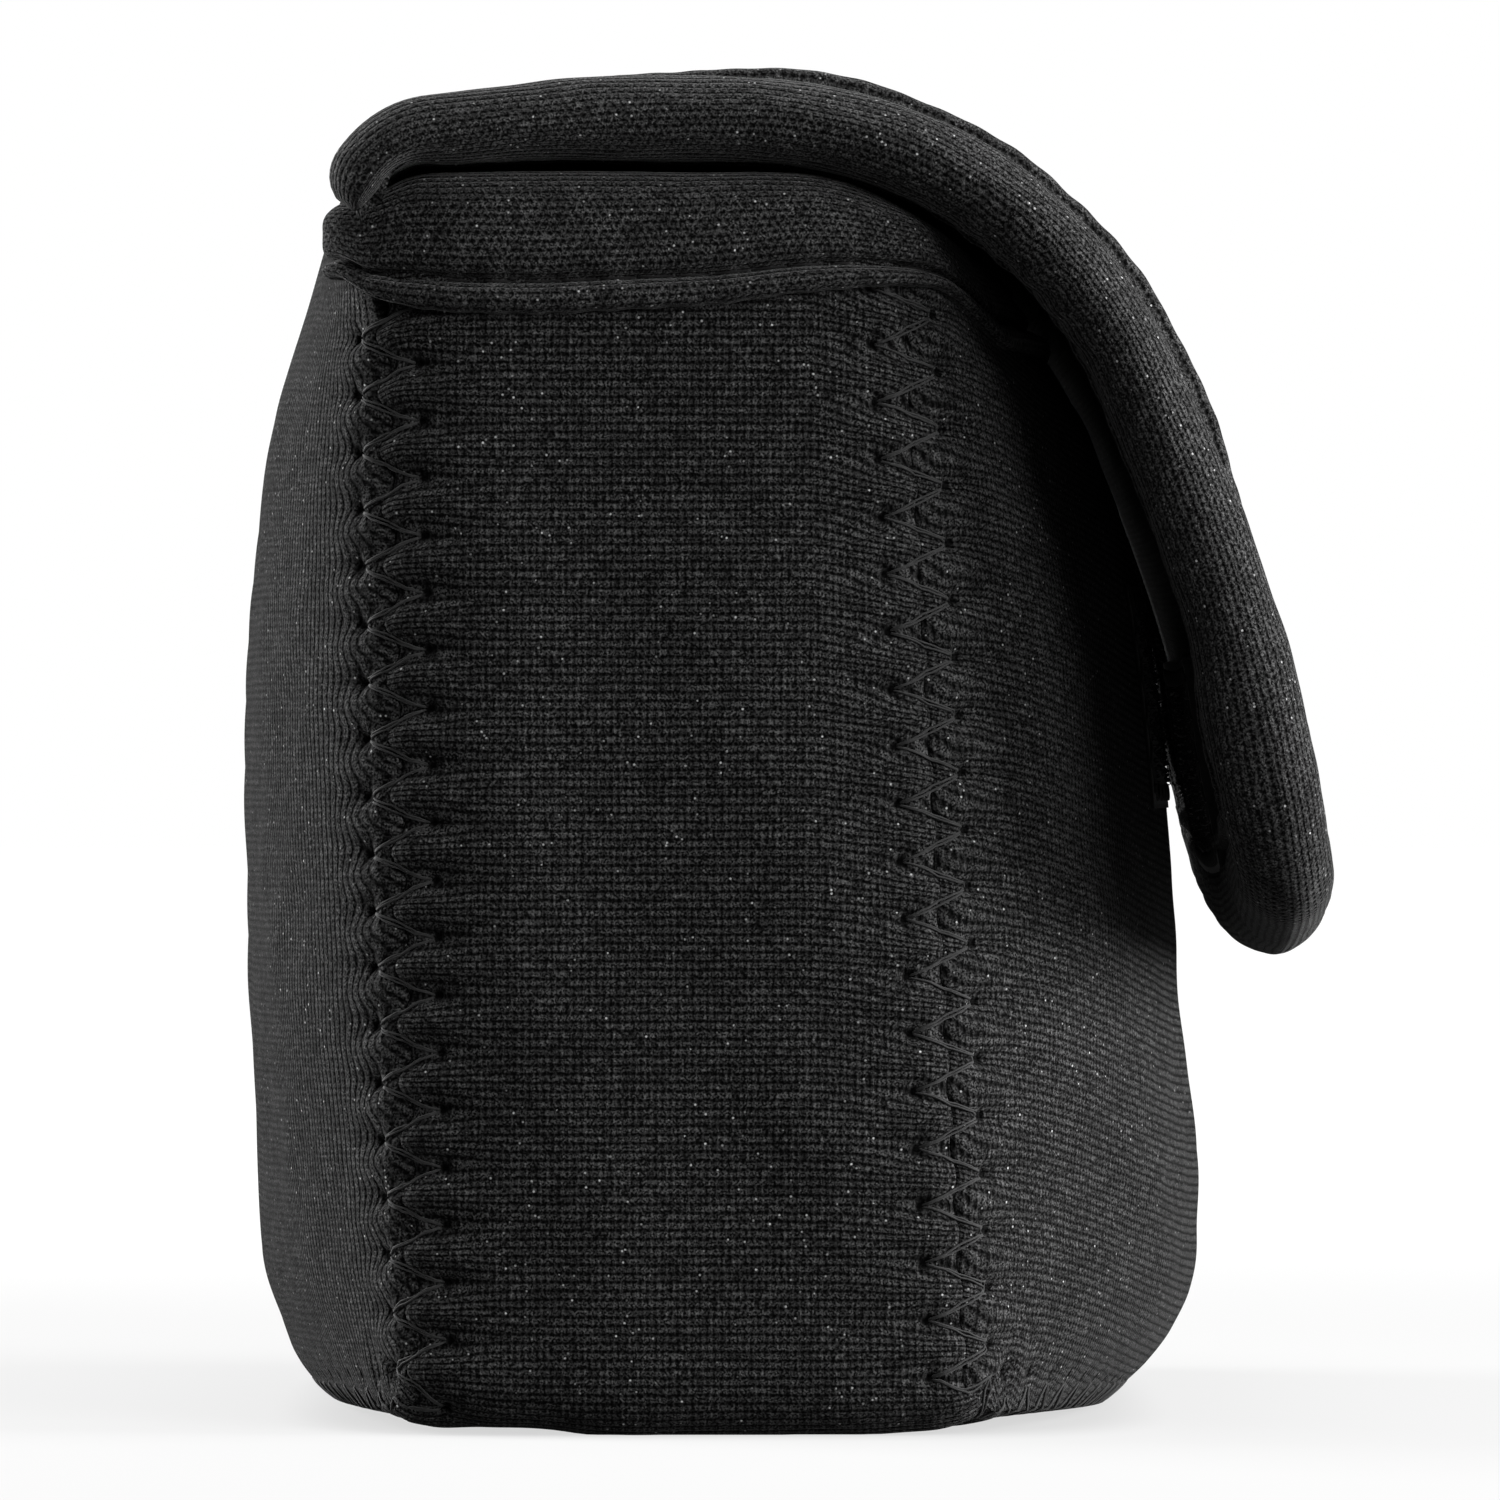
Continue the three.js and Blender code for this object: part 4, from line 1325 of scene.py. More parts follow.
@dataclass(frozen=True)
class TapeForm:
    """Section of the binding tape: a round roll, a stitched groove and a thin flange."""

    roll: float = 3.2
    crown_depth: float = 3.5
    groove_depth: float = 7.3
    full_depth: float = 9.55
    groove_floor: float = 2.1
    flange_height: float = 3.15
    cloth_half: float = 2.0
    stitch: float = 2.7
    pinch: float = 0.22
    puff: float = 0.06

    def height(self, depth: Array) -> Array:
        """Height of the tape's face off the cloth's middle, at a depth from the folded edge."""
        stations = (
            (self.crown_depth, self.roll),
            (5.6, self.roll - 0.03),
            (6.6, 3.02),
            (7.05, 2.5),
            (self.groove_depth, self.groove_floor),
            (7.6, 2.55),
            (8.1, self.flange_height),
            (8.6, self.flange_height + 0.1),
            (9.15, self.flange_height - 0.12),
            (9.42, 2.75),
            (self.full_depth, self.cloth_half - 0.1),
        )
        into = np.clip(depth / self.crown_depth, 0, 1)
        nose = self.roll * np.sqrt(np.maximum(1 - (1 - into) ** 2, 0))
        return np.where(depth < self.crown_depth, nose, through(stations, depth))

    def section(self, count: int = 52) -> tuple[Array, Array, Array]:
        """Depth, height and distance walked of the section's points, from one flange to the other."""
        turn = np.linspace(0, math.pi / 2, 200)
        nose = self.crown_depth * (1 - np.cos(turn))
        depth = np.concatenate([nose, np.linspace(self.crown_depth, self.full_depth, 300)[1:]])
        height = self.height(depth)
        line = np.stack([depth, height], axis=-1)
        line = np.concatenate([line[::-1], (line * np.array([1, -1]))[1:]])
        walked = lengths_along(line)
        even = np.linspace(0, walked[-1], 2 * count)
        return np.interp(even, walked, line[:, 0]), np.interp(even, walked, line[:, 1]), even

    @staticmethod
    def near(depth: Array, middle: float, reach: float) -> Array:
        """One row with 1 at a depth, which fades away on both sides of it."""
        return np.exp(-(((depth[None, :] - middle) / reach) ** 2))

    def worked(self, depth: Array, height: Array, along: Array, seed: int) -> tuple[Array, Array]:
        """The section along its length, with stitch pinches and the soft unevenness of knitted tape.

        Args:
            depth: depths of the section's points.
            height: their heights.
            along: distances along the tape.
            seed: seed of the unevenness.

        Returns:
            Depths and heights, with a row for each place along the tape.
        """
        phase = along[:, None] / self.stitch
        tight = 0.5 + 0.5 * np.cos(2 * math.pi * phase)
        groove = self.near(depth, self.groove_depth, 0.5)
        place = np.stack(np.broadcast_arrays(along[:, None], 2 * depth[None, :], 3 * np.sign(height)), -1)
        uneven = 0.06 * waves(place, 6.0, seed) + 0.08 * waves(place, 18.0, seed + 5)
        free = ease(np.abs(height), 0.0, 1.5)
        beside = self.near(depth, 5.9, 1.0) + self.near(depth, 8.7, 0.5)
        grow = -self.pinch * groove * tight + self.puff * beside * (0.5 - tight) + uneven * free
        edge = 0.1 * (tight - 0.5) * ease(depth, 8.6, 9.4)[None, :]
        new_depth = depth[None, :] - edge + np.where(depth < 2.0, 0.5 * uneven, 0.0)
        return new_depth, height[None, :] + np.sign(height)[None, :] * grow


class Bindings:
    """The knitted tapes round the mouth and round the flap."""

    step = 0.42
    wrap = 3.6
    waist = 4.2
    gap_round = 3.8
    end_round = 3.4
    crown_round = 3.0
    crown_start = 0.85
    fold_at = 50.0
    fold_reach = 9.0
    flap_seed = 47
    low_edge = (
        (-19.0, 80.0), (-12.4, 80.0), (-5.5, 79.5), (1.5, 78.6), (7.1, 78.3), (13.8, 77.98),
        (17.6, 78.05), (21.5, 78.46), (24.5, 79.4), (26.2, 80.9), (28.0, 81.4),
    )

    def __init__(self, form: CaseForm, tape: TapeForm, cloth: bpy.types.Material) -> None:
        """Keeps what the tapes are made of."""
        self.form = form
        self.tape = tape
        self.cloth = cloth
        self.depth, self.height, self.around = tape.section()

    def sweep(self, name: str, rings: Array, along: Array, start: float = 0.0) -> bpy.types.Object:
        """Makes a tape from its rings.

        Args:
            name: the piece's name.
            rings: a row of points for each place along the tape.
            along: distances of the rings.
            start: what the knit map's first value starts with.

        Returns:
            The tape.
        """
        draft = MeshDraft(name)
        around = np.append(self.around, self.around[-1] + self.gap_round)
        knit = np.stack(np.broadcast_arrays(along[:, None] + start, around[None, :]), axis=-1)
        ids = draft.add(rings, knit[:, :-1])
        draft.tube(ids, knit)
        draft.fan(ids[0], flip=True)
        draft.fan(ids[-1])
        return draft.build(self.cloth)

    def closing(self, along: Array, ends: tuple[float, float]) -> Array:
        """How far the tape is open at each place: it closes roundly over a length at each end."""
        total = along[-1]
        opened = np.ones_like(along)
        for length, from_end in zip(ends, (along, total - along)):
            if length > 0:
                share = np.clip(from_end / length, 0, 1)
                opened = opened * np.sqrt(np.maximum(1 - (1 - share) ** 2, 0.0004))
        return opened

    def rim(self) -> tuple[bpy.types.Object, dict[str, Array]]:
        """The tape round the mouth, and the lines of its two grooves."""
        form = self.form
        t = np.linspace(0, 0.1, 34)
        columns = {}
        for layer in Layer:
            side = form.strip_skin(t, np.linspace(1, -1, 110), layer)
            front = form.panel_skin(Side.FRONT, 1 - 2 * t, np.linspace(-1, 1, 270), layer)
            corner = self.corner(side[:, :1], layer)
            other = (side * np.array([-1, 1, 1]))[:, ::-1]
            far_corner = (corner * np.array([-1, 1, 1]))[:, ::-1]
            whole = [corner, side, front[:, 1:], other[:, 1:], far_corner]
            columns[layer] = np.concatenate(whole, axis=1)
        walked = lengths_along(columns[Layer.OUTER][0])
        even = np.linspace(0, walked[-1], math.ceil(walked[-1] / self.step))
        for layer in Layer:
            grid = columns[layer]
            spread = [[np.interp(even, walked, row[:, k]) for k in range(3)] for row in grid]
            columns[layer] = smoothed(np.array(spread).transpose(0, 2, 1), 7)
        outer, inner = columns[Layer.OUTER], columns[Layer.INNER]
        depth, height = self.tape.worked(self.depth, self.height, even, seed=31)
        top_y = outer[0, :, 1]
        fitted = (outer[0, :, 2] + form.tape_wall - through(self.low_edge, top_y)) / self.tape.full_depth
        fitted = np.where(top_y < 0, np.maximum(fitted, 0.5), fitted)
        scale = mix(1.0, fitted, ease(np.abs(outer[0, :, 0]), 46.0, 57.0))[:, None]
        opened = self.closing(even, (self.end_round, self.end_round))
        middle = self.waist * scale
        depth = middle + (depth * scale - middle) * (opened**0.5)[:, None]
        height = height * opened[:, None]
        rise = unit(outer[0] - outer[6])
        level = (outer[0] - inner[0]) * np.array([1, 1, 0])
        out = unit(level - rise * np.einsum("ij,ij->i", level, rise)[:, None])
        high, deep = self.down(outer, rise, depth), self.down(inner, rise, depth)
        share = np.clip((height + 2) / 4, 0, 1)[..., None]
        beyond = np.sign(height) * np.maximum(np.abs(height) - 2, 0)
        rings = deep + (high - deep) * share + out[:, None, :] * beyond[..., None]
        return self.sweep("mouth_tape", rings, even), self.grooves(rings)

    def corner(self, end: Array, layer: Layer) -> Array:
        """The tape's way round the back corner, where it leaves the strip and turns onto the back."""
        turn = np.radians(np.linspace(100, 4, 16))[None, :]
        radius = self.wrap - layer.value * self.form.cloth
        shift = layer.value * self.form.cloth
        x = end[..., 0] - shift + self.wrap - radius * np.cos(turn)
        y = end[..., 1] + radius * np.sin(turn)
        z = end[..., 2] + (self.form.corner_top - end[0, 0, 2]) * np.sin(turn)
        return np.stack([x, y, z], axis=-1)

    def down(self, skin: Array, rise: Array, depth: Array) -> Array:
        """Points of a skin at depths below the tape's folded edge."""
        walked = lengths_along(skin, 0)
        made = np.empty((*depth.shape, 3))
        for index in range(skin.shape[1]):
            below = depth[index] - self.form.tape_wall
            for k in range(3):
                made[index, :, k] = np.interp(below, walked[:, index], skin[:, index, k])
            made[index] += rise[index] * np.maximum(-below, 0)[:, None]
        return made

    def grooves(self, rings: Array) -> dict[str, Array]:
        """Lines of the stitched groove on the outside and on the inside of a tape."""
        lines = {}
        for name, sign in (("outside", 1), ("inside", -1)):
            away = np.abs(self.depth - self.tape.groove_depth) + np.where(sign * self.height > 0, 0, 99)
            lines[name] = rings[:, np.argmin(away)]
        return lines

    def crown(self, sign: int, split: float) -> tuple[bpy.types.Object, dict[str, Array]]:
        """The tape along one side of the crown, from the rounded end at the hinge."""
        flap = self.form.flap
        low = -flap.lead() * self.crown_start
        even = np.linspace(low, split, math.ceil((split - low) / self.step))
        even = np.append(even, split + LAP)
        depth, height = self.tape.worked(self.depth, self.height, even, self.flap_seed)
        opened = self.closing(even - low, (self.crown_round, 0.0))
        depth = self.waist + (depth - self.waist) * (opened**0.5)[:, None]
        height = height * opened[:, None]
        rings = flap.point(sign * (flap.width / 2 - depth), even[:, None], height)
        name = "crown_tape_left" if sign < 0 else "crown_tape_right"
        return self.sweep(name, rings, even), self.grooves(rings)

    def tip(self, split: float) -> tuple[bpy.types.Object, dict[str, Array]]:
        """The tape down one side of the flap, round its free edge and up the other side."""
        flap = self.form.flap
        radius = flap.corner
        turn_at = flap.length() - radius
        straight, quarter = turn_at - split, radius * math.pi / 2
        lower = flap.width - 2 * radius
        total = 2 * straight + 2 * quarter + lower
        even = np.linspace(0, total, math.ceil(total / self.step))
        even = np.concatenate([[0, LAP], even[1:-1], [total - LAP, total]])
        depth, height = self.tape.worked(self.depth, self.height, even + split, self.flap_seed)
        left = np.minimum(even, total - even)
        folded = np.exp(-(((left + split - self.fold_at) / self.fold_reach) ** 2))
        ripple = np.sin(even[:, None] * 2.1 + depth * 0.8) * np.where(height < 0, 1.0, 0.25)
        height = height - 0.12 * folded[:, None] * ripple
        turn = np.clip((left - straight) / quarter, 0, 1) * math.pi / 2
        run = np.clip(left - straight - quarter, 0, None)
        side = np.where(even < total / 2, -1.0, 1.0)
        out = radius - depth
        inner_x = (flap.width / 2 - radius - run)[:, None]
        x = side[:, None] * (inner_x + out * np.cos(turn)[:, None])
        distance = (split + np.minimum(left, straight))[:, None] + out * np.sin(turn)[:, None]
        rings = flap.point(x, distance, height)
        return self.sweep("tip_tape", rings, even, split), self.grooves(rings)


class Flap:
    """The flap's cloth beyond the crown."""

    step = 0.7

    def __init__(self, form: CaseForm, jersey: bpy.types.Material) -> None:
        """Keeps what the flap is made of."""
        self.form = form
        self.jersey = jersey

    def skin(self, split: float, sign: int) -> Array:
        """One skin of the flap, from the split to the tip."""
        form, flap = self.form, self.form.flap
        end = flap.length() - form.tape_wall
        stops = np.linspace(split, end, math.ceil((end - split) / self.step))
        stops = np.insert(stops, 1, split + LAP)
        radius = flap.corner - form.tape_wall
        into = np.clip(stops - (end - radius), 0, radius * 0.985)
        width = flap.width / 2 - form.tape_wall - radius + np.sqrt(radius**2 - into**2)
        share = np.linspace(-1, 1, math.ceil(flap.width / self.step))
        x = width[:, None] * share[None, :]
        return flap.point(x, stops[:, None], np.full_like(x, sign * form.cloth / 2))

    def cloth(self, split: float) -> bpy.types.Object:
        """The cloth from the crown to the tip."""
        outer, inner = self.skin(split, 1), self.skin(split, -1)
        for skin, sign, seed, rough in ((outer, 1, 61, 0.3), (inner, -1, 62, 0.1)):
            calm = ease(np.abs(skin[..., 0]), 52.0, 44.0) * ease(lengths_along(skin, 0), 2.0, 10.0)
            normals = grid_normals(skin)
            facing = np.sign((normals * np.array([0, -1, 1])).sum()) * sign
            skin += normals * (sign * facing * rough * calm * waves(skin, 24.0, seed))[..., None]
        rise = lengths_along(outer[:, outer.shape[1] // 2])
        knit = np.stack(np.broadcast_arrays(rise[:, None] + 100 + split, outer[..., 0]), axis=-1)
        draft = MeshDraft("flap_cloth")
        thick_cloth(draft, outer, inner, knit)
        return draft.build(self.jersey)


class TuftTree(GeometryTree):
    """Sets a bent bristle on every point of a patch."""

    name = "bristle_field"
    inputs = (
        ("Patch", "Geometry", None),
        ("Height", "Float", 0.0007),
        ("Bend", "Float", 200.0),
        ("Thickness", "Float", 0.00008),
        ("Stray", "Float", 0.0002),
        ("Seed", "Int", 5),
        ("Bristle", "Material", None),
    )
    arc_points = 8
    ring_points = 4

    def wire(self) -> None:
        """Lays out the tree: one bristle, its random turns, its place on the patch."""
        arc = self.node(
            "GeometryNodeCurveArc", Resolution=self.arc_points,
            Radius=self.given("Height"), Sweep_Angle=self.given("Bend") * (math.pi / 180),
        )
        upright = self.node(
            "GeometryNodeTransform", Geometry=arc.outputs["Curve"], Rotation=(math.pi / 2, 0, 0)
        )
        bristle = self.swept(upright.outputs[0], self.ring(self.ring_points, self.given("Thickness")))
        seed = self.given("Seed")
        turn = self.node("FunctionNodeRandomValue", {"data_type": "FLOAT"}, Seed=seed)
        turn.inputs[3].default_value = 2 * math.pi
        normal = self.node("GeometryNodeInputNormal")
        upwards = self.node("FunctionNodeAlignRotationToVector", Vector=normal.outputs[0])
        spin = self.node("FunctionNodeAxisAngleToRotation", Angle=turn.outputs[1])
        turns = (upwards.outputs[0], spin.outputs[0])
        both = self.node("FunctionNodeRotateRotation", {"rotation_space": "LOCAL"}, turns)
        stray = self.node(
            "FunctionNodeRandomValue", {"data_type": "FLOAT_VECTOR"}, ((-1, -1, -1),), Seed=seed
        )
        aside = self.scaled(stray.outputs[0], self.given("Stray"))
        moved = self.node("GeometryNodeSetPosition", Geometry=self.given("Patch"), Offset=aside)
        bristles = self.node(
            "GeometryNodeInstanceOnPoints",
            Points=moved.outputs[0], Instance=bristle, Rotation=both.outputs[0],
        )
        self.end(bristles.outputs[0], "Bristle")

    def field(self, name: str, points: Array, facing: int, **sizes: object) -> bpy.types.Object:
        """Covers a grid of points with bristles on the face that looks along Y, or against it."""
        ids = np.arange(points.shape[0] * points.shape[1]).reshape(points.shape[:2])
        flip = (grid_normals(points)[..., 1] * facing).sum() < 0
        faces = quads_of(ids).reshape(-1, 4)[:, :: -1 if flip else 1]
        mesh = bpy.data.meshes.new(name + "_patch")
        mesh.from_pydata((points.reshape(-1, 3) * MM).tolist(), [], faces.tolist())
        return self.run(name, mesh, sizes)


@dataclass(frozen=True)
class PatchForm:
    """A sewn fastener patch with its bristles, whose own sizes are metres.

    It stands off the cloth's outer side, or off the inner one where that value is -1.
    """

    name: str
    width: float
    height: float
    thickness: float
    spacing: float
    divisions: tuple[int, int]
    stands: int
    bristle: dict[str, float]

    border = 2.0
    sunk = 0.4

    def counts(self) -> list[int]:
        """Rows and columns of its bristles."""
        return [int((size - 2 * self.border) / self.spacing) for size in (self.height, self.width)]


GridMaker = Callable[[int, int, float, float], Array]


class Fasteners:
    """The hook patch inside the flap's tip and the loop patch on the front panel."""

    hook = PatchForm(
        "hook", 50.0, 16.0, 1.15, 0.6, (24, 70), -1,
        {"Height": 0.00022, "Bend": 235.0, "Thickness": 0.00005, "Stray": 0.00012},
    )
    loop = PatchForm(
        "loop", 56.0, 16.0, 0.15, 0.55, (30, 80), 1,
        {"Height": 0.0002, "Bend": 200.0, "Thickness": 0.00006, "Stray": 0.0003},
    )
    hook_inset = 6.5
    loop_middle = 51.5
    stitch_inset = 1.1

    def __init__(self, form: CaseForm) -> None:
        """Keeps the case's form."""
        self.form = form

    def hook_grid(self, rows: int, columns: int, inset: float, off: float) -> Array:
        """Grid of points on the inside of the flap's tip."""
        flap, patch = self.form.flap, self.hook
        end = flap.length() - self.hook_inset
        distance = np.linspace(end - patch.height + inset, end - inset, rows)[:, None]
        x = np.linspace(-1, 1, columns)[None, :] * (patch.width / 2 - inset)
        return flap.point(x, distance, np.full((rows, columns), off))

    def loop_grid(self, rows: int, columns: int, inset: float, off: float) -> Array:
        """Grid of points on the front panel's swell."""
        form, patch = self.form, self.loop
        up = np.linspace(0.3, 0.85, 120)
        across = np.linspace(-0.75, 0.75, 160)
        skin = form.panel_skin(Side.FRONT, up, across, Layer.OUTER)
        normals = grid_normals(skin)
        normals *= -np.sign(normals[..., 1].sum())
        z = np.linspace(-1, 1, rows) * (patch.height / 2 - inset) + self.loop_middle
        x = np.linspace(-1, 1, columns) * (patch.width / 2 - inset)
        made = np.empty((rows, columns, 3))
        source = np.concatenate([skin, normals], axis=-1)
        by_z = np.empty((rows, len(across), 6))
        for c in range(len(across)):
            for k in range(6):
                by_z[:, c, k] = np.interp(z, skin[:, c, 2], source[:, c, k])
        for r in range(rows):
            values = [np.interp(x, by_z[r, :, 0], by_z[r, :, k]) for k in range(6)]
            made[r] = np.stack(values[:3], -1) + off * unit(np.stack(values[3:], -1))
        return made

    def base(self, name: str, top: Array, under: Array, material: bpy.types.Material) -> bpy.types.Object:
        """The woven base of a patch."""
        draft = MeshDraft(name)
        knit = np.stack([lengths_along(top, 1), lengths_along(top, 0)], axis=-1)
        thick_cloth(draft, top, under, knit)
        return draft.build(material)

    def border(self, grid: GridMaker, off: float) -> tuple[Array, Array]:
        """Line of the stitching round a patch, with the directions across it."""
        ring = grid(60, 160, self.stitch_inset, off)
        sides = [ring[0, :-1], ring[:-1, -1], ring[-1, ::-1][:-1], ring[::-1, 0]]
        line = np.concatenate(sides)
        centre = ring.mean((0, 1))
        tangent = unit(np.gradient(line, axis=0))
        normal = unit(np.cross(ring[-1, 0] - ring[0, 0], ring[0, -1] - ring[0, 0]))
        across = unit(np.cross(tangent, normal))
        across *= np.sign(np.einsum("ij,ij->i", across, centre - line))[:, None]
        return line, across


@dataclass(frozen=True)
class LampForm:
    """A soft square lamp: where it stands, its size in metres and its power in watts."""

    name: str
    place: tuple[float, float, float]
    size: float
    power: float


class Studio:
    """White floor and background, soft lamps and the photograph's camera.

    Places and sizes are metres; the lens and the sensor are millimetres.
    """

    lamps = (
        LampForm("front_lamp", (-0.1, -0.8, 0.17), 0.5, 29.0),
        LampForm("back_lamp", (0.3, 0.75, 0.25), 0.5, 25.0),
        LampForm("top_lamp", (-0.1, -0.1, 0.9), 0.6, 7.0),
        LampForm("near_lamp", (-0.8, -0.5, 0.5), 0.4, 8.6),
    )
    target = (0.0, 0.0, 0.045)
    camera_place = (-1.071, -0.002, 0.0477)
    lens = 349.4
    sensor = 36.0
    surround = 0.12
    floor_reach = 6.0
    floor_grey = 0.07
    glow_near = 0.77
    glow_far = 1.0
    glow_from, glow_to = 0.13, 0.6
    bounce = 0.14
    painted_shadow_footprint = (0.06, 0.029)
    shadow = 0.16
    shadow_from, shadow_to = 1.14, 0.9

    def build(self) -> None:
        """Sets the whole stage."""
        for form in self.lamps:
            self.lamp(form)
        self.world()
        self.floor()
        self.camera()

    def lamp(self, form: LampForm) -> None:
        """Adds one area lamp."""
        data = bpy.data.lights.new(form.name, "AREA")
        data.shape = "RECTANGLE"
        data.size, data.size_y, data.energy = form.size, form.size, form.power
        lamp = placed(form.name, data)
        lamp.location = form.place
        look = Vector(self.target) - Vector(form.place)
        lamp.rotation_euler = look.to_track_quat("-Z", "Y").to_euler()

    def world(self) -> None:
        """White to the camera, and dimmer as light."""
        world = bpy.data.worlds.new("studio")
        world.use_nodes = True
        sky = NodeWork()
        sky.tree = world.node_tree
        ground = next(node for node in sky.tree.nodes if node.bl_idname == "ShaderNodeBackground")
        rays = sky.node("ShaderNodeLightPath")
        seen = sky.value(rays, "Is Camera Ray")
        plug(sky.tree, ground.inputs["Color"], sky.colour(self.surround, 1.0, seen))
        bpy.context.scene.world = world

    def floor(self) -> None:
        """A wide white floor whose glow is dimmer near the case and holds a painted contact shadow round
        its footprint, beside the faint real shadows of the lamps.
        """
        reach = self.floor_reach
        mesh = bpy.data.meshes.new("floor")
        corners = [(-reach, -reach, 0), (reach, -reach, 0), (reach, reach, 0), (-reach, reach, 0)]
        mesh.from_pydata(corners, [], [(0, 1, 2, 3)])
        floor = placed("floor", mesh)
        finish = Finish("floor_white")
        rays = finish.node("ShaderNodeLightPath")
        away = finish.node("ShaderNodeVectorMath", {"operation": "LENGTH"}, (finish.place(),))
        share = finish.value(away, "Value").step(self.glow_from, self.glow_to)
        glow = share * (self.glow_far - self.glow_near) + self.glow_near
        # Painted contact shadow: the glow is darkened just outside a rounded box about the case's
        # footprint.
        split = finish.node("ShaderNodeSeparateXYZ", Vector=finish.place())
        x, y = (
            finish.value(split, axis).math("ABSOLUTE") / half
            for axis, half in zip("XY", self.painted_shadow_footprint)
        )
        outside = (x ** 4.0 + y ** 4.0) ** 0.25
        glow = glow * (1 - outside.step(self.shadow_from, self.shadow_to) * self.shadow)
        seen = finish.value(rays, "Is Camera Ray")
        glow = seen * glow + (1 - seen) * self.bounce
        shade = finish.node("ShaderNodeCombineXYZ", X=glow, Y=glow, Z=glow)
        material = finish.shader(
            Base_Color=(self.floor_grey, self.floor_grey, self.floor_grey, 1.0),
            Roughness=1.0,
            Specular_IOR_Level=0.0,
            Emission_Color=shade.outputs[0],
            Emission_Strength=1.0,
        )
        mesh.materials.append(material)

    def camera(self) -> None:
        """The camera that took the photograph, level and looking along +X."""
        data = bpy.data.cameras.new("camera")
        data.lens = self.lens
        data.sensor_width = self.sensor
        data.clip_start, data.clip_end = 0.05, 50.0
        camera = placed("camera", data)
        camera.location = self.camera_place
        camera.rotation_euler = (math.pi / 2, 0.0, -math.pi / 2)
        bpy.context.scene.camera = camera
        bpy.context.scene.view_settings.view_transform = "Standard"
        bpy.context.scene.view_settings.look = "None"


@dataclass(frozen=True)
class Turning:
    """Two bodies that a piece bends between, and the line along which it does so, in millimetres."""

    first: str
    second: str
    start: tuple[float, float, float]
    end: tuple[float, float, float]

    def carry(self, piece: bpy.types.Object) -> None:
        """Bakes the piece's transform into its mesh; nothing here lets it bend between the two bodies."""
        start, end = (tuple(value * MM for value in point) for point in (self.start, self.end))
        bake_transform(piece)


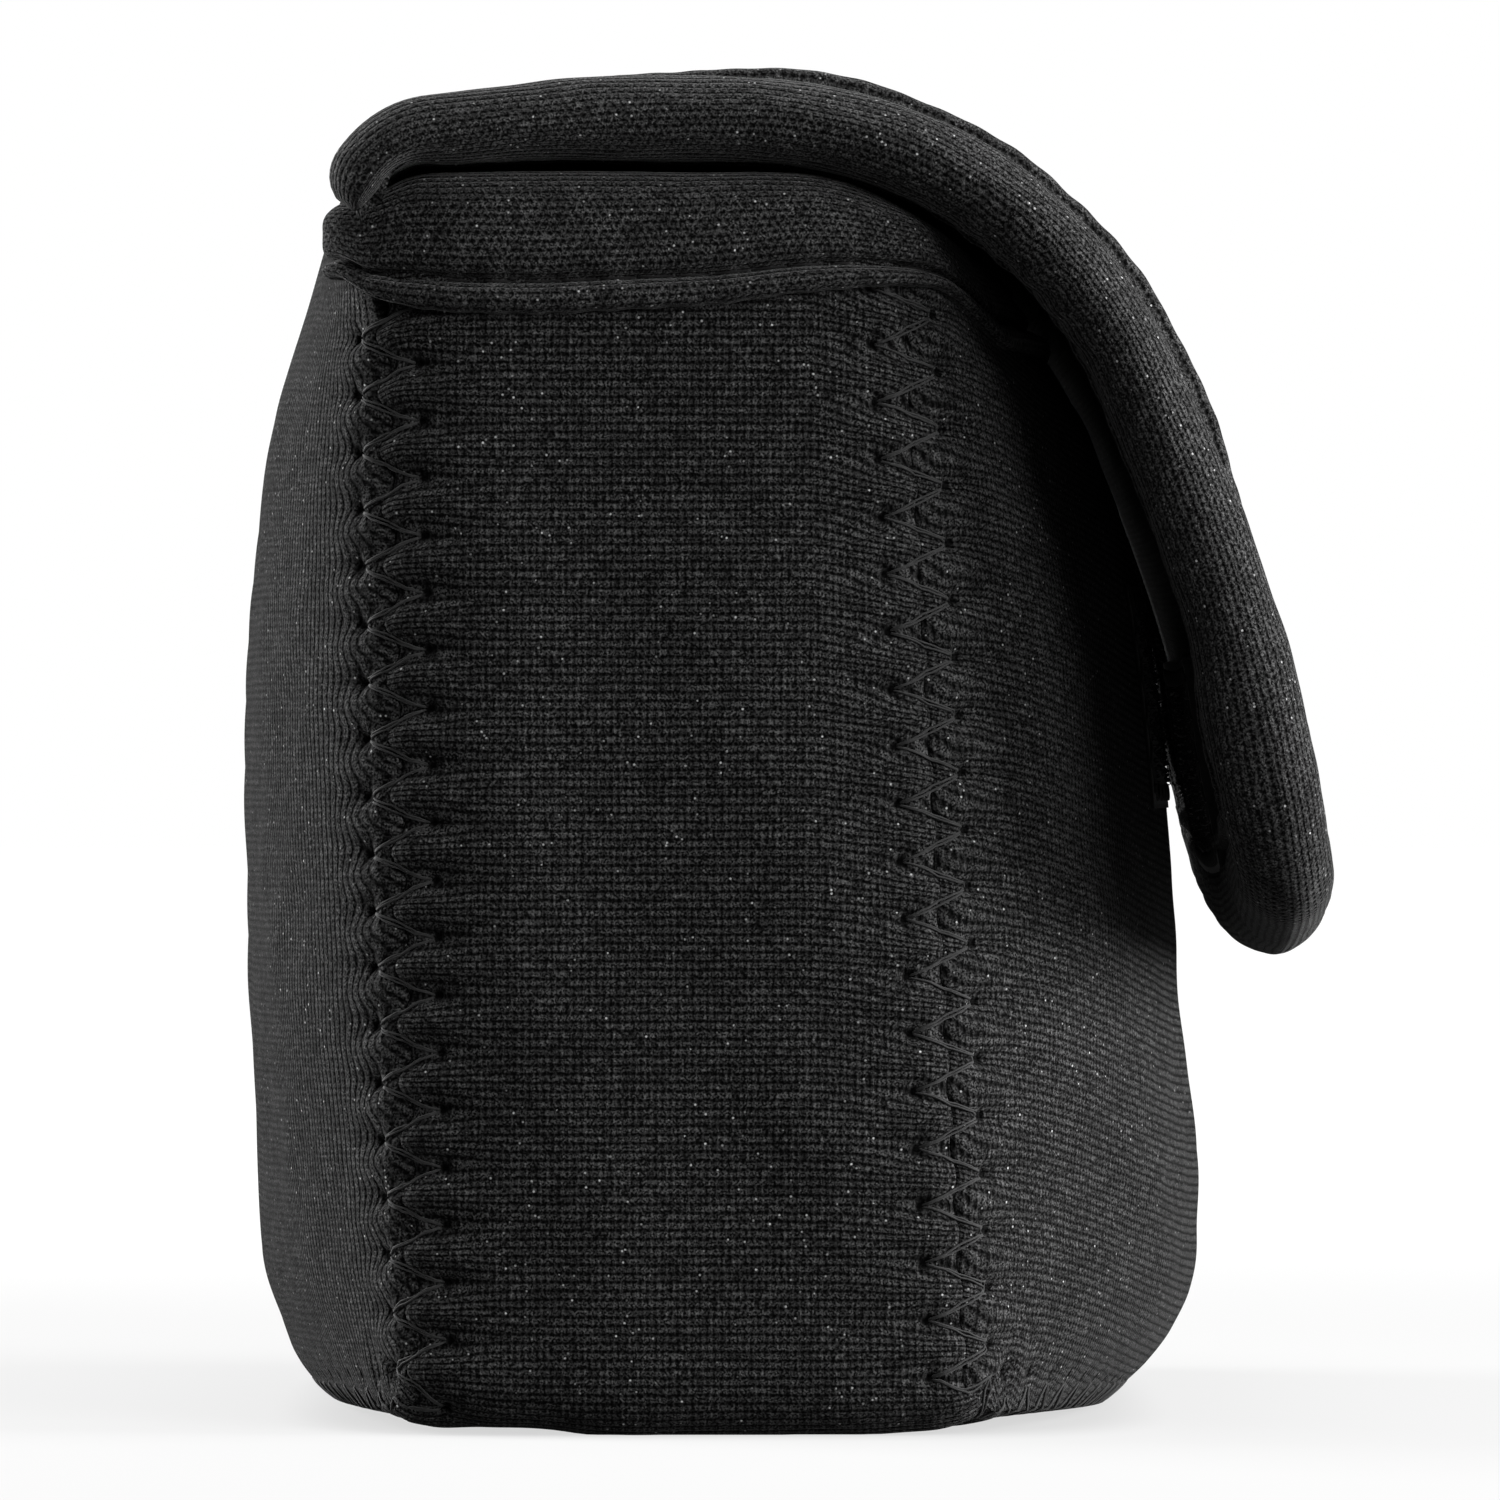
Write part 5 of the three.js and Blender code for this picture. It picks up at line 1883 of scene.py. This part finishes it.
class CameraCase:
    """The whole case, in the order of its making."""

    split = 33.0
    hinge = Turning("pouch", "flap_crown", (0.0, 30.0, 81.0), (0.0, 19.0, 91.0))
    tape_hinge = Turning("pouch", "flap_crown", (0.0, 27.5, 86.0), (0.0, 20.0, 91.0))
    bend = Turning("flap_crown", "flap_tip", (0.0, -11.9, 90.2), (0.0, -23.5, 82.4))

    def __init__(self) -> None:
        """Prepares forms and finishes."""
        self.form = CaseForm()
        self.tape = TapeForm()
        self.seams = (
            ZigzagSeam(Side.FRONT, 4.0, 5.3, 78.0, 0.2, 0.75, 0.75, 0.15),
            ZigzagSeam(Side.BACK, 4.0, 5.0, 76.5, 0.2, 1.0, 0.75, 0.5),
        )
        seams = tuple((seam.pitch, seam.width / 2) for seam in self.seams)
        self.jersey = Knit("jersey", 0.604, 0.514, 0.5, 0.24, 0.00015, 0.08, 0.03, 0.0, seams).make()
        self.tape_cloth = Knit("binding_tape", 0.56, 0.62, 0.26, 0.1, 0.00018, 0.13, 0.04, 0.5).make()
        self.thread = Plain("thread", 0.007, 0.03, 0.7, 0.05, 3000.0).make()
        # The topstitch thread is near black: its own dark colour, darkened further as painted shade of the
        # deep groove it lies in.
        self.dark_thread = Plain("dark_thread", 0.002, 0.01, 0.8, 0.0, 3000.0).make()
        self.hooks = Plain("hook_fabric", 0.003, 0.03, 0.9, 0.1, 900.0).make()
        self.loops = Plain("loop_fabric", 0.0015, 0.016, 0.9, 0.1, 900.0).make()
        self.stitches = StitchTree()
        self.tufts = TuftTree()
        self.parts: dict[str, bpy.types.Object] = {}

    def build(self) -> None:
        """Makes every piece, and gives some of them to their bodies."""
        self.pouch()
        self.flap()
        self.tapes()
        self.threads()
        self.patches()
        for piece in self.parts.values():
            log.info("%s: %d faces", piece.name, len(piece.data.polygons))

    def pouch(self) -> None:
        """The strip, the front panel and the back panel with the crown."""
        self.sewing = Sewing(self.form, self.seams)
        pouch = Pouch(self.form, self.sewing, self.jersey)
        strip, front, back = pouch.strip(), pouch.front(), pouch.back(self.split)
        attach(strip, "pouch")
        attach(front, "pouch")
        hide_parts("gusset")
        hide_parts("front_panel")
        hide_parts("back_panel")
        self.hinge.carry(back)
        self.keep("jersey", strip, front, back)
        self.strip, self.front, self.back = strip, front, back

    def keep(self, slot: str, *pieces: bpy.types.Object) -> None:
        """Notes finished pieces."""
        for piece in pieces:
            self.parts[piece.name] = piece

    def flap(self) -> None:
        """The cloth of the flap."""
        cloth = Flap(self.form, self.jersey).cloth(self.split)
        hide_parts("flap_crown", "flap_tip")
        self.bend.carry(cloth)
        self.keep("jersey", cloth)
        self.flap_cloth = cloth

    def tapes(self) -> None:
        """The binding tapes with their topstitching."""
        bindings = Bindings(self.form, self.tape, self.tape_cloth)
        mouth, mouth_lines = bindings.rim()
        self.topstitch(mouth, mouth_lines, "mouth")
        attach(mouth, "pouch")
        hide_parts("rim_binding")
        for sign, side in ((-1, "left"), (1, "right")):
            tape, lines = bindings.crown(sign, self.split)
            self.topstitch(tape, lines, f"crown_{side}", self.tape_hinge)
            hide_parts(f"crown_binding_{side}")
            self.tape_hinge.carry(tape)
            self.keep("binding_tape", tape)
        tip, tip_lines = bindings.tip(self.split)
        self.topstitch(tip, tip_lines, "tip", self.bend)
        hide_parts("tip_binding")
        self.bend.carry(tip)
        self.keep("binding_tape", mouth, tip)

    def topstitch(
        self, tape: bpy.types.Object, lines: dict[str, Array], name: str, turning: Turning | None = None
    ) -> None:
        """Sews both grooves of a tape."""
        for face, line in lines.items():
            line = line[8:-8] if turning is None else line[3:-1]
            across = np.zeros_like(line)
            across[:, 2] = 1.0
            thread = self.stitches.sew(
                f"{name}_stitches_{face}", line, (across, -across), tape, tape,
                Pitch=2 * self.tape.stitch * MM, Width=0.0, Thread_Radius=0.00011, Strands=1,
                Lift=0.00003, Sink=0.0003, Spread=0.0, Phase=0.0, Seed=3, Thread=self.dark_thread,
            )
            if turning is None:
                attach(thread, "pouch")
            else:
                turning.carry(thread)
            self.keep("binding_tape", thread)

    def threads(self) -> None:
        """The zigzag threads over the two long seams."""
        for seam, panel in zip(self.seams, (self.front, self.back)):
            path, walked = self.sewing.paths[seam.side], self.sewing.walked[seam.side]
            first = seam.phase(0.0, path)
            start = math.ceil(first * 2 + 0.6) / 2
            begin = (start - first) * seam.pitch
            even = np.linspace(begin, walked[-1] - begin, 1600)
            line = np.stack([np.interp(even, walked, path[:, k]) for k in range(3)], axis=-1)
            across = self.swings(seam.side, line)
            thread = self.stitches.sew(
                f"{seam.side.name.lower()}_zigzag", line, across, self.strip, panel,
                Pitch=seam.pitch * MM, Width=seam.width * MM, Thread_Radius=0.000075, Strands=2,
                Lift=0.0001, Sink=0.0006, Spread=0.00022, Phase=float(start), Seed=9, Thread=self.thread,
            )
            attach(thread, "pouch")
            self.keep("jersey", thread)

    def swings(self, side: Side, line: Array) -> tuple[Array, Array]:
        """Directions in which the zigzag leaves a seam, on the panel and on the strip."""
        foot, leave = self.form.foot, self.form.panel(side).leave
        out = np.zeros_like(line)
        low = line[:, 2] < foot
        corner = np.abs(line[:, 0]) - (self.form.width / 2 - foot)
        out[:, 0] = np.sign(line[:, 0]) * np.where(low, np.clip(corner, 0, foot), foot)
        out[:, 2] = np.where(low, np.minimum(line[:, 2] - foot, 0), 0)
        out = unit(out)
        sideways = np.array([0.0, side.value, 0.0])
        tangent = unit(np.gradient(line, axis=0))
        made = []
        for direction in (
            sideways * math.cos(leave) - out * math.sin(leave),
            np.broadcast_to(-sideways, out.shape),
        ):
            made.append(unit(direction - tangent * np.einsum("ij,ij->i", direction, tangent)[:, None]))
        return made[0], made[1]

    def patches(self) -> None:
        """The hook patch and the loop patch with their stitching."""
        fasteners = Fasteners(self.form)
        inside = -self.form.cloth / 2
        base, field, thread = self.patch(
            fasteners, fasteners.hook, fasteners.hook_grid, inside, self.hooks
        )
        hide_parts("hook_patch")
        for piece in (base, field, thread):
            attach(piece, "flap_tip")
        self.keep("hook_fabric", base, field, thread)
        base, field, thread = self.patch(
            fasteners, fasteners.loop, fasteners.loop_grid, 0.0, self.loops
        )
        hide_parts("loop_patch")
        for piece in (base, field, thread):
            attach(piece, "pouch")
        self.keep("loop_fabric", base, field, thread)

    def patch(
        self,
        fasteners: Fasteners,
        form: PatchForm,
        grid: GridMaker,
        face: float,
        material: bpy.types.Material,
    ) -> tuple[bpy.types.Object, bpy.types.Object, bpy.types.Object]:
        """Makes one patch.

        Args:
            fasteners: what makes the patch's base and border.
            form: the patch's form.
            grid: its grid of points for given rows, columns, inset and height.
            face: height at which the grid lies in the face of the cloth.
            material: of the base and the bristles.

        Returns:
            The base, the bristles and the stitching.
        """
        high = face + form.stands * form.thickness
        top = grid(*form.divisions, 0.0, high)
        under = grid(*form.divisions, 0.0, face - form.stands * form.sunk)
        base = fasteners.base(f"{form.name}_base", top, under, material)
        points = grid(*form.counts(), form.border, high)
        field = self.tufts.field(
            f"{form.name}_field", points, -form.stands, Bristle=material, **form.bristle
        )
        line, across = fasteners.border(grid, high)
        thread = self.stitches.sew(
            f"{form.name}_stitches", line, (across, -across), base, base, Pitch=0.003, Width=0.0012,
            Thread_Radius=0.0001, Strands=1, Spread=0.0, Lift=0.0001, Sink=0.0003, Thread=self.thread,
        )
        return base, field, thread


def main() -> None:
    """Loads the frame, dresses it and sets the stage."""
    logging.basicConfig(level=logging.INFO, format="%(message)s")
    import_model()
    CameraCase().build()
    Studio().build()


if __name__ == "__main__":
    main()
